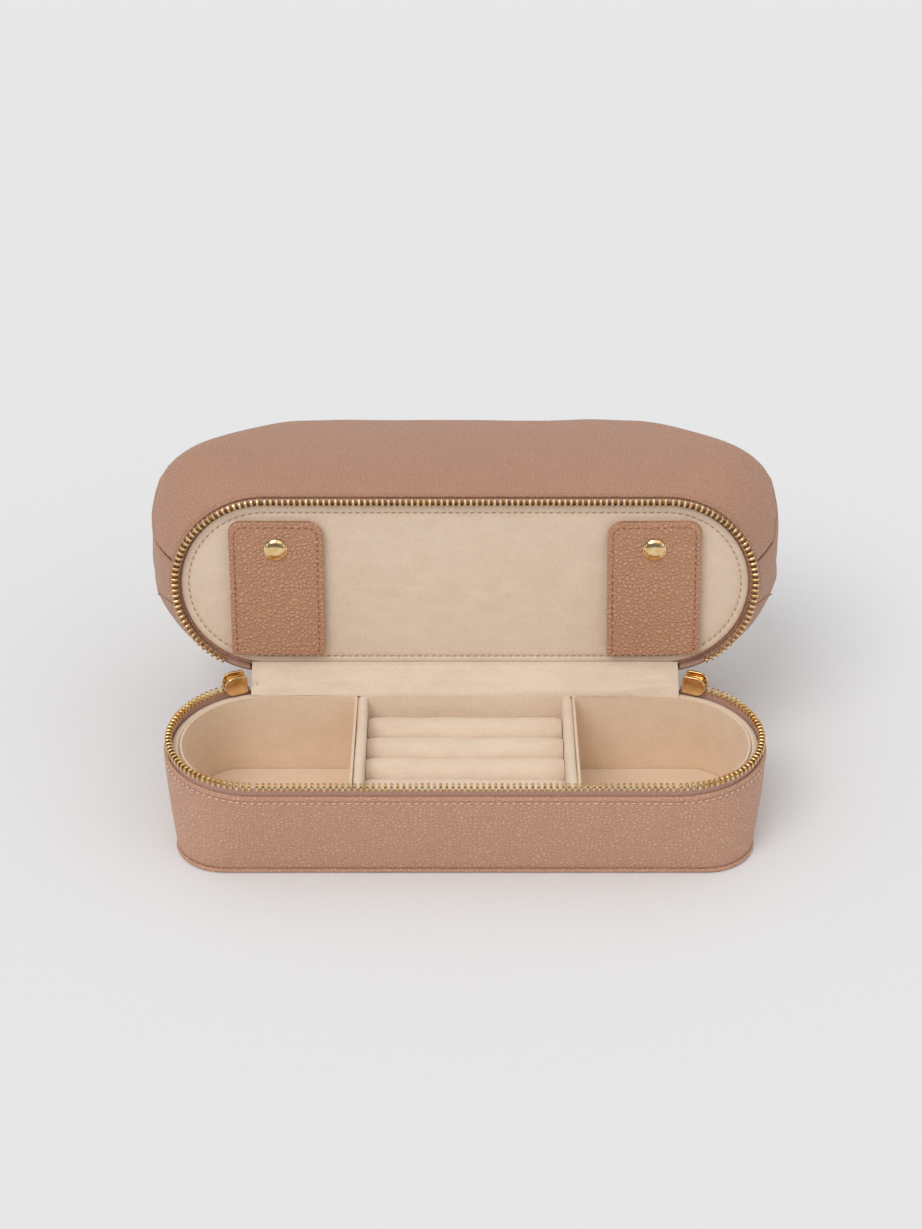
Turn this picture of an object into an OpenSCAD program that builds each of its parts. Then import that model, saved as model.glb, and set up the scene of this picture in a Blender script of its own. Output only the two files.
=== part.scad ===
// Leather vanity case: a zipped jewellery tray below, and a soft dome pouch
// hinged on the tray's back edge whose floor is the tray's lid.
// The case stands open. The origin is the middle of the tray's underside, on
// the table; +X is the wearer's right, +Y the back, +Z up.

/* [Tray] */
// Width of the case at the zip line
case_w = 250; // [200:1:320]
// Depth of the case at the zip line
case_d = 82; // [70:1:110]
// Height of the zip line above the table
zip_h = 46.5; // [40:0.5:70]
// How far each wall leans in from the zip line to the table
wall_lean = 4; // [0:0.5:8]
// Corner radius of the tray at the table
foot_r = 22; // [16:1:30]
// Thickness of the leather sole
sole_t = 2; // [1.5:0.1:4]
// How far the sole's welt stands out past the wall
welt = 0.5; // [0:0.1:1.5]

/* [Layers] */
// Thickness of the outer leather
leather_t = 1.6; // [1:0.1:2.2]
// Thickness of the zip tape
tape_t = 0.8; // [0.5:0.1:1.2]
// Thickness of the stiffening board in the walls
board_t = 2.4; // [1.5:0.1:3.2]
// Thickness of the suede lining
suede_t = 1; // [0.6:0.1:1.6]
// Air between two layers that are glued or sewn
layer_gap = 0.1; // [0.05:0.05:0.2]

/* [Inside the tray] */
// Distance from the middle to a divider's inner face
divider_x = 41.3; // [30:0.5:50]
// Thickness of a padded divider
divider_t = 4.4; // [3:0.1:6]
// Thickness of a cup's card and suede wall
cup_t = 1.2; // [1:0.1:2]
// Height of the top of the ring rolls
roll_top = 35; // [30:0.5:38]
// Height of a ring roll
roll_h = 14; // [12:0.5:16]
// Room left in front of the ring rolls
roll_front = 4; // [0:0.5:8]

/* [Zip] */
// Pitch of the zip teeth
tooth_pitch = 2.45; // [2:0.05:4]
// Length of a tooth along the chain
tooth_l = 1.25; // [0.8:0.05:1.5]
// Width of a tooth across the tape
tooth_w = 3; // [2.4:0.1:3.6]
// Height of a tooth
tooth_h = 2.7; // [2:0.1:3.2]
// Distance from the zip line to the leather's edge, on each side
edge_gap = 5.5; // [5:0.1:8]
// Length of a slider
slider_l = 10; // [8:0.5:12]
// Length of a pull tab
pull_l = 30; // [20:1:34]

/* [Hinge] */
// How far the hinge strip runs past the start of each round end
hinge_over = 7.5; // [2:0.5:8]
// Angle to which the lid opens
open_angle = 96.5; // [90:0.5:105]

/* [Lid and straps] */
// Distance from the zip line to the suede face of the lid
lid_recess = 4.6; // [4.4:0.1:6]
// Thickness of the lid's board
lid_board_t = 2.4; // [1.5:0.1:3.2]
// Width of a strap
strap_w = 39.5; // [25:0.5:44]
// Length of a strap
strap_l = 60.5; // [45:0.5:62]
// Distance from the middle to a strap's centre line
strap_x = 80.2; // [60:0.5:90]
// Distance from the hinge line to the strap's fold
strap_up = 10.5; // [10.5:0.5:14]
// Thickness of a strap's folded leather
strap_t = 2.2; // [1.6:0.1:2.6]
// Corner radius of a strap's free end
strap_r = 5.5; // [2:0.5:10]
// Radius of a snap cap
snap_r = 4.9; // [4:0.1:7]
// Distance from the strap's free end to the snap's centre
snap_in = 12; // [8:0.5:16]

/* [Pouch] */
// Height of the pouch above the zip line
pouch_h = 110; // [95:1:130]
// How far the pouch swells past the tray at each side
pouch_swell = 12; // [4:0.5:20]
// How far the pouch swells past the tray at front and back
belly = 3.5; // [0:0.5:6]
// Radius of the pouch's top corners
dome_r = 62; // [40:1:64]
// Thickness of the pouch's leather
pouch_t = 1.3; // [1:0.1:2]
// Thickness of the pouch's lining
pouch_lining_t = 0.6; // [0.4:0.1:1]
// Half width of the gusset beside the rim
gusset_side = 10; // [6:0.5:14]
// Half width of the gusset over the top
gusset_top = 36; // [20:0.5:38]
// Half width of the zip slot in the gusset
slot_half = 6.5; // [5:0.5:10]

/* [Hidden] */

leather = "#b78d77";
suede = "#d6bd9e";
card = "#c9b79c";
tape_pink = "#b98a80";
gold = "#d9b36a";

slab = 0.01;                                     // thickness of the sheets that the pouch's hull joins
end_flat = 0.15;                                 // half the flat left at each round end
lip = 0.25;                                      // upright edge at a tray wall's foot
end_x = (case_w - case_d) / 2;                   // centre of each round end
mid_r = case_d / 2 - leather_t - layer_gap - tape_t / 2;  // radius of the tape's middle
edge_z = zip_h - edge_gap;                       // top edge of the tray's leather
upright_z = edge_z - 4;                          // the walls lean below this and stand upright above it
cup_z = edge_z + 0.4;                            // top of the cups and dividers
floor_z = sole_t + 2 * layer_gap + board_t;      // top of the floor board
tape_gap = leather_t + layer_gap;                // where each layer starts, from the outside
board_gap = tape_gap + tape_t + layer_gap;
lining_gap = board_gap + board_t + layer_gap;
cup_gap = lining_gap + suede_t + 2 * layer_gap;
hinge_half = end_x + hinge_over;                 // half the width of the hinge strip
half_parting = 0.2;                              // tray teeth to zip line, and zip line to lid teeth
tape_top = half_parting + tooth_h + 0.05;        // zip line to the tape's edge
tape_l = 10;                                     // height of the tape
run_gap = 0.3;                                   // running clearance round a slider
plate_t = 1.2;                                   // thickness of a slider's plates
plate_h = 9;                                     // height of a slider's plates
park_x = hinge_half + 2 + slider_l / 2;          // where a slider parks
park_a = asin((park_x - end_x) / mid_r);         // the same as an angle round the end
slider_span = asin((slider_l / 2 + 0.8) / mid_r);
first_tooth = park_a + slider_span;              // the chain starts past the slider
rim_z = edge_gap;                                // the pouch's edge above the zip line
widest_z = pouch_h - dome_r;                     // where the dome's corners start
dome_x = case_w / 2 + pouch_swell - dome_r;      // centre of the dome's corners
top_edge_r = 6;                                  // rounding along the pouch's top edges
pouch_fn = 32;
sag = 0.9 * layer_gap;                           // a facet of the tray stays inside a layer's gap
tray_fn = 4 * ceil(45 / acos(1 - sag / (case_d / 2)));

// ---- outlines ----

module corners(hw, hd, r) {
    for (x = [-1, 1], y = [-1, 1]) translate([x * (hw - r), y * (hd - r)]) circle(r);
}

module rounded(hw, hd, r) {
    corners(hw, hd, r);
    square([2 * (hw - r), 2 * hd], center = true);
    if (hd > r + 0.01) square([2 * hw, 2 * (hd - r)], center = true);
}

// The case's outline at the zip line, moved in by a distance
module stadium(inset) {
    rounded(case_w / 2 - inset, case_d / 2 - inset, case_d / 2 - inset);
}

// The corners of the tray's outline at a height, moved in by a distance
module tray_corners(z, inset) {
    up = z / upright_z;
    lean = wall_lean * (1 - up);
    r = foot_r + (case_d / 2 - foot_r) * up;
    corners(case_w / 2 - lean - inset, case_d / 2 - lean - inset, min(r, case_d / 2 - lean - end_flat) - inset);
}

// A slice of the tray's body; every slice is cut from the same walls
module tray_solid(inset, low, high) {
    intersection() {
        hull() {
            linear_extrude(lip) tray_corners(0, inset, $fn = tray_fn);
            translate([0, 0, upright_z]) linear_extrude(zip_h - upright_z) tray_corners(upright_z, inset, $fn = tray_fn);
        }
        translate([-case_w / 2, -case_d / 2, low]) cube([case_w, case_d, high - low]);
    }
}

module tray_shell(outer, thick, low, high) {
    difference() {
        tray_solid(outer, low, high);
        tray_solid(outer + thick, low - 1, high + 1);
    }
}

// A ring that follows the zip line
module zip_ring(inset, thick, low, high) {
    translate([0, 0, low]) linear_extrude(high - low) {
        difference() {
            stadium(inset, $fn = 96);
            stadium(inset + thick, $fn = 96);
        }
    }
}

// The space over the hinge strip, where the zip stops
module hinge_space() {
    translate([-hinge_half - 1, 0, -200]) cube([2 * hinge_half + 2, case_d, 600]);
}

// ---- placing ----

// Children are drawn with the case shut and heights above the zip line
module on_lid() {
    translate([0, case_d / 2, zip_h]) rotate([-open_angle, 0, 0]) translate([0, -case_d / 2, 0]) children();
}

// side is -1 at the left and 1 at the right
module on_side(side) {
    if (side < 0) mirror([1, 0, 0]) children();
    else children();
}

// A place on the chain round an end, angle counted from the back; x along the zip, y outwards
module on_end(angle, radius) {
    translate([end_x, 0, 0]) rotate([0, 0, 90 - angle]) translate([radius, 0, 0])
        rotate([0, 0, -90]) children();
}

// ---- zip ----

module tooth() {
    translate([-tooth_l / 2, -tooth_w / 2, 0]) cube([tooth_l, tooth_w, tooth_h]);
}

module zip_teeth() {
    round_run = mid_r * (180 - first_tooth) * PI / 180;
    round_count = floor(round_run / tooth_pitch);
    front_count = floor(2 * end_x / tooth_pitch);
    for (i = [0:front_count]) {
        translate([(i - front_count / 2) * 2 * end_x / (front_count + 0.5), -mid_r, 0]) tooth();
    }
    for (side = [-1, 1]) on_side(side) {
        for (i = [0:round_count - 1]) {
            on_end(first_tooth + (180 - first_tooth) * i / round_count, mid_r) tooth();
        }
    }
}

module tray_tape() {
    difference() {
        zip_ring(tape_gap, tape_t, zip_h - tape_top - tape_l + edge_gap, zip_h - tape_top);
        hinge_space();
    }
}

// Slider: an outer and an inner plate joined over the tray's teeth, with a pinned
// pull outside. x runs along the zip, y outwards, z up.
half_channel = tooth_w / 2 + run_gap;
plate_y = half_channel + plate_t / 2;
bend_gap = 0.15;                                 // more room inside, for the zip's round ends
barrel_r = 1.3;                                  // radius of a pull's barrel
barrel_l = 3;
pin_r = 0.6;
pin_gap = 0.05;                                  // running clearance of the pin
lug_t = 0.9;
lug_r = 1.1;
lug_gap = 0.15;
pivot_up = barrel_r + run_gap;                   // plate's face to the pin
pivot_y = half_channel + plate_t + pivot_up;     // tape's middle to the pin

module slider_plate() {
    neck = plate_h * 0.34;
    rotate([90, 0, 0]) linear_extrude(plate_t, center = true) {
        intersection() {
            union() {
                translate([slider_l / 2 - plate_h / 2, 0]) circle(plate_h / 2, $fn = 48);
                translate([-slider_l / 2, -neck]) square([slider_l * 0.8, 2 * neck]);
            }
            square([slider_l, plate_h], center = true);
        }
    }
}

// Two lugs and a pin on a plate whose face is at z = 0; the pin lies along x
module pull_mount() {
    lug_x = barrel_l / 2 + lug_gap;
    sunk = 0.1;
    for (x = [-lug_x - lug_t, lug_x]) translate([x, 0, -sunk]) {
        translate([0, -lug_r, 0]) cube([lug_t, 2 * lug_r, pivot_up + sunk]);
        translate([0, 0, pivot_up + sunk]) rotate([0, 90, 0]) cylinder(r = lug_r, h = lug_t, $fn = 32);
    }
    translate([0, 0, pivot_up]) rotate([0, 90, 0]) cylinder(r = pin_r, h = 2 * lug_x + lug_t, center = true, $fn = 32);
}

module slider_body() {
    bridge_z = run_gap - half_parting;
    sunk = 0.1;
    for (y = [-plate_y - bend_gap, plate_y]) translate([0, y, 0]) slider_plate();
    translate([-slider_l * 0.3, -half_channel - bend_gap - sunk, bridge_z])
        cube([slider_l * 0.6, 2 * (half_channel + sunk) + bend_gap, 2]);
    translate([0, plate_y + plate_t / 2, 0]) rotate([-90, 0, 0]) pull_mount();
}

// Pull: a barrel on the pin and a flat tab below it
module pull_tab() {
    tab_w = 6.4;
    tab_t = 1;
    waist = 2.6;
    difference() {
        union() {
            rotate([0, 90, 0]) cylinder(r = barrel_r, h = barrel_l, center = true, $fn = 32);
            rotate([90, 0, 0]) linear_extrude(tab_t, center = true) {
                translate([-waist / 2, -pull_l + tab_w]) square([waist, pull_l - tab_w]);
                translate([0, -pull_l + tab_w / 2]) circle(tab_w / 2, $fn = 32);
                translate([-tab_w / 2, -pull_l + tab_w / 2]) square([tab_w, pull_l * 0.5]);
                translate([0, -pull_l * 0.5 + tab_w / 2]) circle(tab_w / 2, $fn = 32);
            }
        }
        rotate([0, 90, 0]) cylinder(r = pin_r + pin_gap, h = barrel_l + 2, center = true, $fn = 32);
    }
}

// ---- tray ----

module base_sole() {
    color(leather) linear_extrude(sole_t)
        rounded(case_w / 2 - wall_lean + welt, case_d / 2 - wall_lean + welt, foot_r + welt, $fn = 64);
}

module base_wall() {
    color(leather) tray_shell(0, leather_t, sole_t + layer_gap, edge_z);
}

module wall_board() {
    color(card) tray_shell(board_gap, board_t, sole_t + layer_gap, edge_z - 2.5);
}

module floor_board() {
    color(card) tray_solid(lining_gap, sole_t + layer_gap, floor_z - layer_gap);
}

module tray_lining() {
    color(suede) tray_shell(lining_gap, suede_t, floor_z, edge_z + 0.2);
}

module tray_floor() {
    color(suede) tray_solid(lining_gap + suede_t + layer_gap, floor_z, floor_z + suede_t);
}

cup_floor = floor_z + suede_t + layer_gap;
cup_x = divider_x + divider_t + layer_gap;
module cup() {
    color(suede) difference() {
        intersection() {
            tray_solid(cup_gap, cup_floor, cup_z);
            translate([cup_x, -case_d, 0]) cube([case_w, 2 * case_d, 2 * zip_h]);
        }
        intersection() {
            tray_solid(cup_gap + cup_t, cup_floor + cup_t, cup_z + 1);
            translate([cup_x + cup_t, -case_d, 0]) cube([case_w, 2 * case_d, 2 * zip_h]);
        }
    }
}

module left_cup() { on_side(-1) cup(); }
module right_cup() { on_side(1) cup(); }

module divider() {
    color(suede) intersection() {
        tray_solid(cup_gap, cup_floor, cup_z + 1);
        translate([divider_x + divider_t / 2, case_d / 2, 0]) rotate([90, 0, 0]) linear_extrude(case_d) {
            translate([0, cup_z - divider_t / 2]) circle(divider_t / 2, $fn = 32);
            translate([-divider_t / 2, 0]) square([divider_t, cup_z - divider_t / 2]);
        }
    }
}

module left_divider() { on_side(-1) divider(); }
module right_divider() { on_side(1) divider(); }

// The ring rolls fill the middle of the tray, front to back
roll_count = 4;
roll_gap = 0.6;                                   // between two rolls
roll_low = roll_top - roll_h;
tray_in = case_d / 2 - wall_lean - cup_gap;       // half depth of the tray at its floor
roll_room = tray_in + wall_lean * roll_low / upright_z;   // and at the foot of the rolls
bed_half = divider_x - layer_gap;
roll_pitch = (2 * roll_room - roll_front) / roll_count;
roll_r = (roll_pitch - roll_gap) / 2;
module ring_bed() {
    color(suede) translate([-bed_half, -tray_in, cup_floor])
        cube([2 * bed_half, 2 * tray_in, roll_low - layer_gap - cup_floor]);
}

module ring_roll(n) {
    color(suede) translate([-bed_half, roll_front / 2 + (n - (roll_count + 1) / 2) * roll_pitch, 0])
        rotate([90, 0, 90]) linear_extrude(2 * bed_half) {
            intersection() {
                translate([0, roll_top - roll_r]) circle(roll_r, $fn = 48);
                translate([-roll_r, roll_low]) square([2 * roll_r, roll_h]);
            }
            translate([-roll_r, roll_low]) square([2 * roll_r, roll_h - roll_r]);
        }
}

module base_zip_tape() { color(tape_pink) tray_tape(); }

module base_zip_teeth() {
    color(gold) translate([0, 0, zip_h - half_parting - tooth_h]) zip_teeth();
}

// ---- hinge strip: leather outside and suede inside, one half on each body ----

cover_t = 1.2;
hinge_play = 0.15;
module hinge_cover(low, high) {
    color(leather) translate([-hinge_half, case_d / 2 - cover_t, low]) cube([2 * hinge_half, cover_t, high - low]);
}

module hinge_lining(low, high) {
    color(suede) translate([-hinge_half, case_d / 2 - cover_t - layer_gap - suede_t, low])
        cube([2 * hinge_half, suede_t, high - low]);
}

module hinge_cover_lower() { translate([0, 0, zip_h]) hinge_cover(-edge_gap + layer_gap, -hinge_play); }
module hinge_lining_lower() { translate([0, 0, zip_h]) hinge_lining(-edge_gap + 0.3, -hinge_play); }
module hinge_cover_upper() { on_lid() hinge_cover(hinge_play, rim_z - layer_gap); }
module hinge_lining_upper() { on_lid() hinge_lining(hinge_play, lid_recess - layer_gap); }

// ---- lid: the pouch's stiff floor ----

module lid_zip_tape() {
    color(tape_pink) on_lid() difference() {
        zip_ring(tape_gap, tape_t, tape_top, tape_top + tape_l);
        hinge_space();
    }
}

module lid_zip_teeth() {
    color(gold) on_lid() translate([0, 0, half_parting]) zip_teeth();
}

band_gap = board_gap;
band_t = 2.2;
lid_gap = band_gap + band_t + layer_gap;
module lid_edge_band() {
    color(suede) on_lid() zip_ring(band_gap, band_t, lid_recess, lid_recess + suede_t + lid_board_t + 1);
}

module lid_plate(low, high) {
    on_lid() translate([0, 0, low]) linear_extrude(high - low) stadium(lid_gap, $fn = 96);
}

board_low = lid_recess + suede_t;
module lid_suede() { color(suede) lid_plate(lid_recess, board_low - layer_gap / 2); }
module lid_board() { color(card) lid_plate(board_low, board_low + lid_board_t); }
module pouch_floor() {
    color(suede) lid_plate(board_low + lid_board_t + layer_gap / 2, board_low + lid_board_t + pouch_lining_t);
}

// ---- straps with snaps ----

strap_fold_y = case_d / 2 - strap_up;
backing_t = 1;
snap_h = 1.1;
flap_top = lid_recess - layer_gap - backing_t - snap_h - layer_gap;  // flap's face towards the lid
snap_y = strap_fold_y - strap_l + snap_in;

module strap_outline(grow) {
    w = strap_w - 2 * grow;
    l = strap_l - grow;
    translate([-w / 2, -l + strap_r]) square([w, l - strap_r]);
    translate([-w / 2 + strap_r, -l]) square([w - 2 * strap_r, strap_r]);
    for (x = [-1, 1]) translate([x * (w / 2 - strap_r), -l + strap_r]) circle(strap_r, $fn = 32);
}

module on_strap(side, z) {
    on_lid() translate([side * strap_x, strap_fold_y, z]) children();
}

module on_snap(side, z) {
    on_lid() translate([side * strap_x, snap_y, z]) children();
}

module strap_backing(side) {
    color(leather) on_strap(side, lid_recess - layer_gap - backing_t) linear_extrude(backing_t) strap_outline(0.4);
}

module strap_flap(side) {
    color(leather) on_strap(side, flap_top - strap_t) linear_extrude(strap_t) strap_outline(0);
}

module snap_cap(side) {
    dome = 1.6;
    color(gold) on_snap(side, flap_top - strap_t - layer_gap) mirror([0, 0, 1]) rotate_extrude($fn = 64) {
        square([snap_r, dome * 0.45]);
        square([snap_r * 0.82, dome]);
        translate([snap_r * 0.82, dome * 0.45]) intersection() {
            scale([snap_r * 0.18 / (dome * 0.55), 1]) circle(dome * 0.55, $fn = 32);
            square(dome);
        }
    }
}

stud_r = 1.9;
module snap_socket(side) {
    color(gold) on_snap(side, flap_top + layer_gap + 0.05) linear_extrude(snap_h - 0.1) difference() {
        circle(snap_r * 0.88, $fn = 48);
        circle(stud_r + run_gap, $fn = 48);
    }
}

module snap_stud(side) {
    color(gold) on_snap(side, flap_top + 0.02) cylinder(r = stud_r, h = snap_h - 0.2, $fn = 48);
}

module left_strap_backing() { strap_backing(-1); }
module right_strap_backing() { strap_backing(1); }
module left_strap_flap() { strap_flap(-1); }
module right_strap_flap() { strap_flap(1); }
module left_snap_cap() { snap_cap(-1); }
module right_snap_cap() { snap_cap(1); }
module left_snap_socket() { snap_socket(-1); }
module right_snap_socket() { snap_socket(1); }
module left_snap_stud() { snap_stud(-1); }
module right_snap_stud() { snap_stud(1); }

// ---- pouch ----

// Half width, half depth and corner radius of the pouch at a height over the zip line
swell_power = 2.2;                                // how late the sides turn out to their widest
top_thinning = 6.5;                               // how much thinner the pouch is at its top
middle_r = 24;                                    // corner radius where the dome starts
dome_sharpening = 10;                             // how much tighter the corners are at the top
function swell(z) = pow(max(0, widest_z - z) / (widest_z - rim_z), swell_power);
function pouch_hw(z) = z < widest_z
    ? case_w / 2 + pouch_swell * (1 - swell(z))
    : dome_x + sqrt(max(0, dome_r * dome_r - pow(z - widest_z, 2)));
function top_round(z) = z < pouch_h - top_edge_r ? 0
    : top_edge_r - sqrt(max(0, top_edge_r * top_edge_r - pow(z - pouch_h + top_edge_r, 2)));
function pouch_hd(z) = case_d / 2 + belly * (1 - swell(z))
    - top_thinning * pow(max(0, z - widest_z) / dome_r, 2) - top_round(z);
function pouch_r(z) = case_d / 2 - (case_d / 2 - middle_r) * min(1, (z - rim_z) / widest_z)
    - dome_sharpening * max(0, z - widest_z) / dome_r;
low_levels = [for (i = [0:4]) rim_z + (widest_z - rim_z) * i / 5];
dome_levels = [for (a = [0:9:90]) widest_z + dome_r * sin(a)];

module pouch_solid(inset) {
    hull() for (z = concat(low_levels, dome_levels)) {
        up = rim_z + (z - rim_z) * (1 - inset / (pouch_h - rim_z));
        r = max(2, min(pouch_r(z), pouch_hd(z)) - inset);
        translate([0, 0, up - slab / 2]) linear_extrude(slab)
            corners(pouch_hw(z) - inset, pouch_hd(z) - inset, r, $fn = pouch_fn);
    }
}

module pouch_skin() {
    difference() {
        pouch_solid(0);
        pouch_solid(pouch_t);
    }
}

// The gusset is narrow beside the rim and widens to run over the top
module gusset_zone() {
    wide_z = widest_z + 14;
    rotate([90, 0, 90]) linear_extrude(2 * case_w, center = true) {
        polygon([
            [-gusset_side, -1], [-gusset_side - 2, widest_z / 2], [-gusset_top, wide_z], [-gusset_top, 2 * pouch_h],
            [gusset_top, 2 * pouch_h], [gusset_top, wide_z], [gusset_side + 2, widest_z / 2], [gusset_side, -1]
        ]);
    }
}

module zone(low, high, from_y, to_y) {
    translate([-case_w, from_y, low]) cube([2 * case_w, to_y - from_y, high - low]);
}

module pouch_panel(from_y, to_y) {
    color(leather) on_lid() difference() {
        intersection() {
            pouch_skin();
            zone(0, 2 * pouch_h, from_y, to_y);
        }
        gusset_zone();
    }
}

module pouch_front() { pouch_panel(-case_d, 0); }
module pouch_back() { pouch_panel(0, case_d); }

module pouch_side(side) {
    color(leather) on_lid() intersection() {
        pouch_skin();
        gusset_zone();
        zone(0, widest_z, -case_d, case_d);
        on_side(side) translate([0, -case_d, 0]) cube([case_w, 2 * case_d, pouch_h]);
    }
}

module pouch_left_side() { pouch_side(-1); }
module pouch_right_side() { pouch_side(1); }

module pouch_top(from_y, to_y) {
    color(leather) on_lid() intersection() {
        pouch_skin();
        gusset_zone();
        zone(widest_z, 2 * pouch_h, from_y, to_y);
    }
}

module pouch_top_front() { pouch_top(-case_d, -slot_half); }
module pouch_top_back() { pouch_top(slot_half, case_d); }

lining_gap_in = pouch_t + 0.3;
module pouch_lining() {
    color(suede) on_lid() difference() {
        pouch_solid(lining_gap_in);
        pouch_solid(lining_gap_in + pouch_lining_t);
        zone(0, tape_top + tape_l + layer_gap, -case_d, case_d);
    }
}

tape_in = 0.5;
module pouch_zip_tape() {
    color(tape_pink) on_lid() intersection() {
        difference() {
            pouch_solid(tape_in);
            pouch_solid(pouch_t);
        }
        zone(widest_z, 2 * pouch_h, -slot_half + layer_gap, slot_half - layer_gap);
    }
}

chain_w = 5.6;
chain_h = 1.4;
module chain_tooth() {
    translate([-tooth_l / 2, -chain_w / 2, -tape_in + 0.05]) cube([tooth_l, chain_w, chain_h]);
}

module pouch_zip_teeth() {
    flat_count = floor(2 * dome_x / tooth_pitch);
    round_count = floor(dome_r * PI / 2 / tooth_pitch) - 1;
    color(gold) on_lid() {
        for (i = [0:flat_count]) {
            translate([(i - flat_count / 2) * 2 * dome_x / (flat_count + 0.5), 0, pouch_h]) chain_tooth();
        }
        for (side = [-1, 1]) on_side(side) for (i = [1:round_count - 1]) {
            translate([dome_x, 0, widest_z]) rotate([0, 90 * i / (round_count + 1), 0])
                translate([0, 0, dome_r]) chain_tooth();
        }
    }
}

// ---- sliders and pulls ----

module on_park(side) {
    translate([0, 0, zip_h]) on_side(side) on_end(park_a, mid_r) children();
}

module left_slider() { color(gold) on_park(-1) slider_body(); }
module right_slider() { color(gold) on_park(1) slider_body(); }
module left_pull() { color(gold) on_park(-1) translate([0, pivot_y, 0]) pull_tab(); }
module right_pull() { color(gold) on_park(1) translate([0, pivot_y, 0]) pull_tab(); }

pouch_slider_x = dome_x - slider_l;              // the pouch's zip is shut, its slider at the right
pouch_slider_z = pouch_h - tape_in + 0.05 + chain_h + run_gap;
module pouch_slider() {
    w = chain_w + 2 * run_gap;
    color(gold) on_lid() translate([pouch_slider_x, 0, pouch_slider_z]) {
        linear_extrude(plate_t) {
            translate([slider_l / 2 - w / 2 - 1, 0]) circle(w / 2 + 1, $fn = 48);
            translate([-slider_l / 2, -w / 2 - 1]) square([slider_l / 2, w + 2]);
        }
        for (y = [-w / 2 - 1, w / 2]) translate([-slider_l / 2, y, -1.2]) cube([slider_l * 0.6, 1, 1.3]);
        translate([0, 0, plate_t]) rotate([0, 0, 90]) pull_mount();
    }
}

module pouch_pull() {
    color(gold) on_lid() translate([pouch_slider_x, 0, pouch_slider_z + plate_t + pivot_up])
        rotate([90, 0, -90]) pull_tab();
}

base_sole();
base_wall();
wall_board();
floor_board();
tray_lining();
tray_floor();
left_cup();
right_cup();
left_divider();
right_divider();
ring_bed();
ring_roll(1);  // ring_roll_1
ring_roll(2);  // ring_roll_2
ring_roll(3);  // ring_roll_3
ring_roll(4);  // ring_roll_4
base_zip_tape();
base_zip_teeth();
hinge_cover_lower();
hinge_lining_lower();
hinge_cover_upper();
hinge_lining_upper();
lid_zip_tape();
lid_zip_teeth();
lid_edge_band();
lid_suede();
lid_board();
pouch_floor();
pouch_front();
pouch_back();
pouch_left_side();
pouch_right_side();
pouch_top_front();
pouch_top_back();
pouch_lining();
pouch_zip_tape();
pouch_zip_teeth();
left_strap_backing();
right_strap_backing();
left_snap_socket();
right_snap_socket();
left_strap_flap();
left_snap_cap();
left_snap_stud();
right_strap_flap();
right_snap_cap();
right_snap_stud();
left_slider();
left_pull();
right_slider();
right_pull();
pouch_slider();
pouch_pull();
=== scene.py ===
import math
import bmesh
import bpy
from mathutils import Matrix, Vector, noise


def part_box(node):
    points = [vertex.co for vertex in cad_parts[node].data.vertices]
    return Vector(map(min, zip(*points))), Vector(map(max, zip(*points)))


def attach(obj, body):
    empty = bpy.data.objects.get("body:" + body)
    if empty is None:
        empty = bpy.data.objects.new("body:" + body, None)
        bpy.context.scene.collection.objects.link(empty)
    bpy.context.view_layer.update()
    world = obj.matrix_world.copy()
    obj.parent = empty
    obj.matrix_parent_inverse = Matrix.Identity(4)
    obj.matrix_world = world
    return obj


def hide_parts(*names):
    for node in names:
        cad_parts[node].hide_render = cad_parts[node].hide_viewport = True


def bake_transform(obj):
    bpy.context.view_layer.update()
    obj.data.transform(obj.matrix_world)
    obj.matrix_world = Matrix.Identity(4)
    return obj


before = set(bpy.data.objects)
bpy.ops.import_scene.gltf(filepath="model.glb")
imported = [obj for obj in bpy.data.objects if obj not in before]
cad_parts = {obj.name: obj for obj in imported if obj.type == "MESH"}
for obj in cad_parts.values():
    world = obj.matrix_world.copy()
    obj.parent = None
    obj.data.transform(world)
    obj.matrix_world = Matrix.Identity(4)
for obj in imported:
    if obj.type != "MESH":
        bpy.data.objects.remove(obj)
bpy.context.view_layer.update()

MM = 0.001

# ---- sizes in millimetres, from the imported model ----


def cad_box(node):
    low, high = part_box(node)
    return low / MM, high / MM


TAPE_IN = 1.7           # from the case's outer line in to the zip tape
CHAIN_IN = 2.1          # from the same line in to the middle of the tape and teeth
TEETH_DOWN = 0.2        # from the zip line down to the teeth
ZIP_PITCH = 2.45        # from one tooth to the next
STITCH_PITCH = 3.0      # from one stitch to the next
PARKED = 7              # from the end of the hinge strip to a parked slider's middle
SLIDER_CLEAR = 5.8      # from a slider's middle to the first tooth
OPEN_ANGLE = 96.5       # how far the lid stands open at rest

tape_low, tape_high = cad_box("base_zip_tape")
HALF_W = tape_high.x + TAPE_IN
HALF_D = TAPE_IN - tape_low.y
ZIP = cad_box("base_zip_teeth")[1].z + TEETH_DOWN
EDGE = cad_box("base_wall")[1].z
END_X = HALF_W - HALF_D
FOOT_R = 22             # corner radius at the tray's foot
LEAN = 4                # how far the tray's wall leans in at the foot
RIM = 5.5               # the pouch's lowest edge, over the zip line
CREASE_Z = 24           # where the gusset's seams turn, over the zip line
WIDEST = 48             # where the pouch is widest
SHOULDER_Z = 62         # where the gusset reaches its full width
POUCH_TOP = 110
DOME_R = 62             # radius of the pouch's ends, seen from the front
DOME_X = 75             # the centre of that radius, from the middle
GUSSET = (10, 12, 36)   # half width of the gusset at the rim, the crease and the shoulder
SLOT = 6.5              # half width of the gap for the pouch's zip
SNAP_Y = -18            # the snaps, from the lid's middle
HINGE_HALF = cad_box("hinge_lining_lower")[1].x
LID = (Matrix.Translation((0, HALF_D, ZIP)) @ Matrix.Rotation(math.radians(-OPEN_ANGLE), 4, "X")
       @ Matrix.Translation((0, -HALF_D, 0)))


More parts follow.
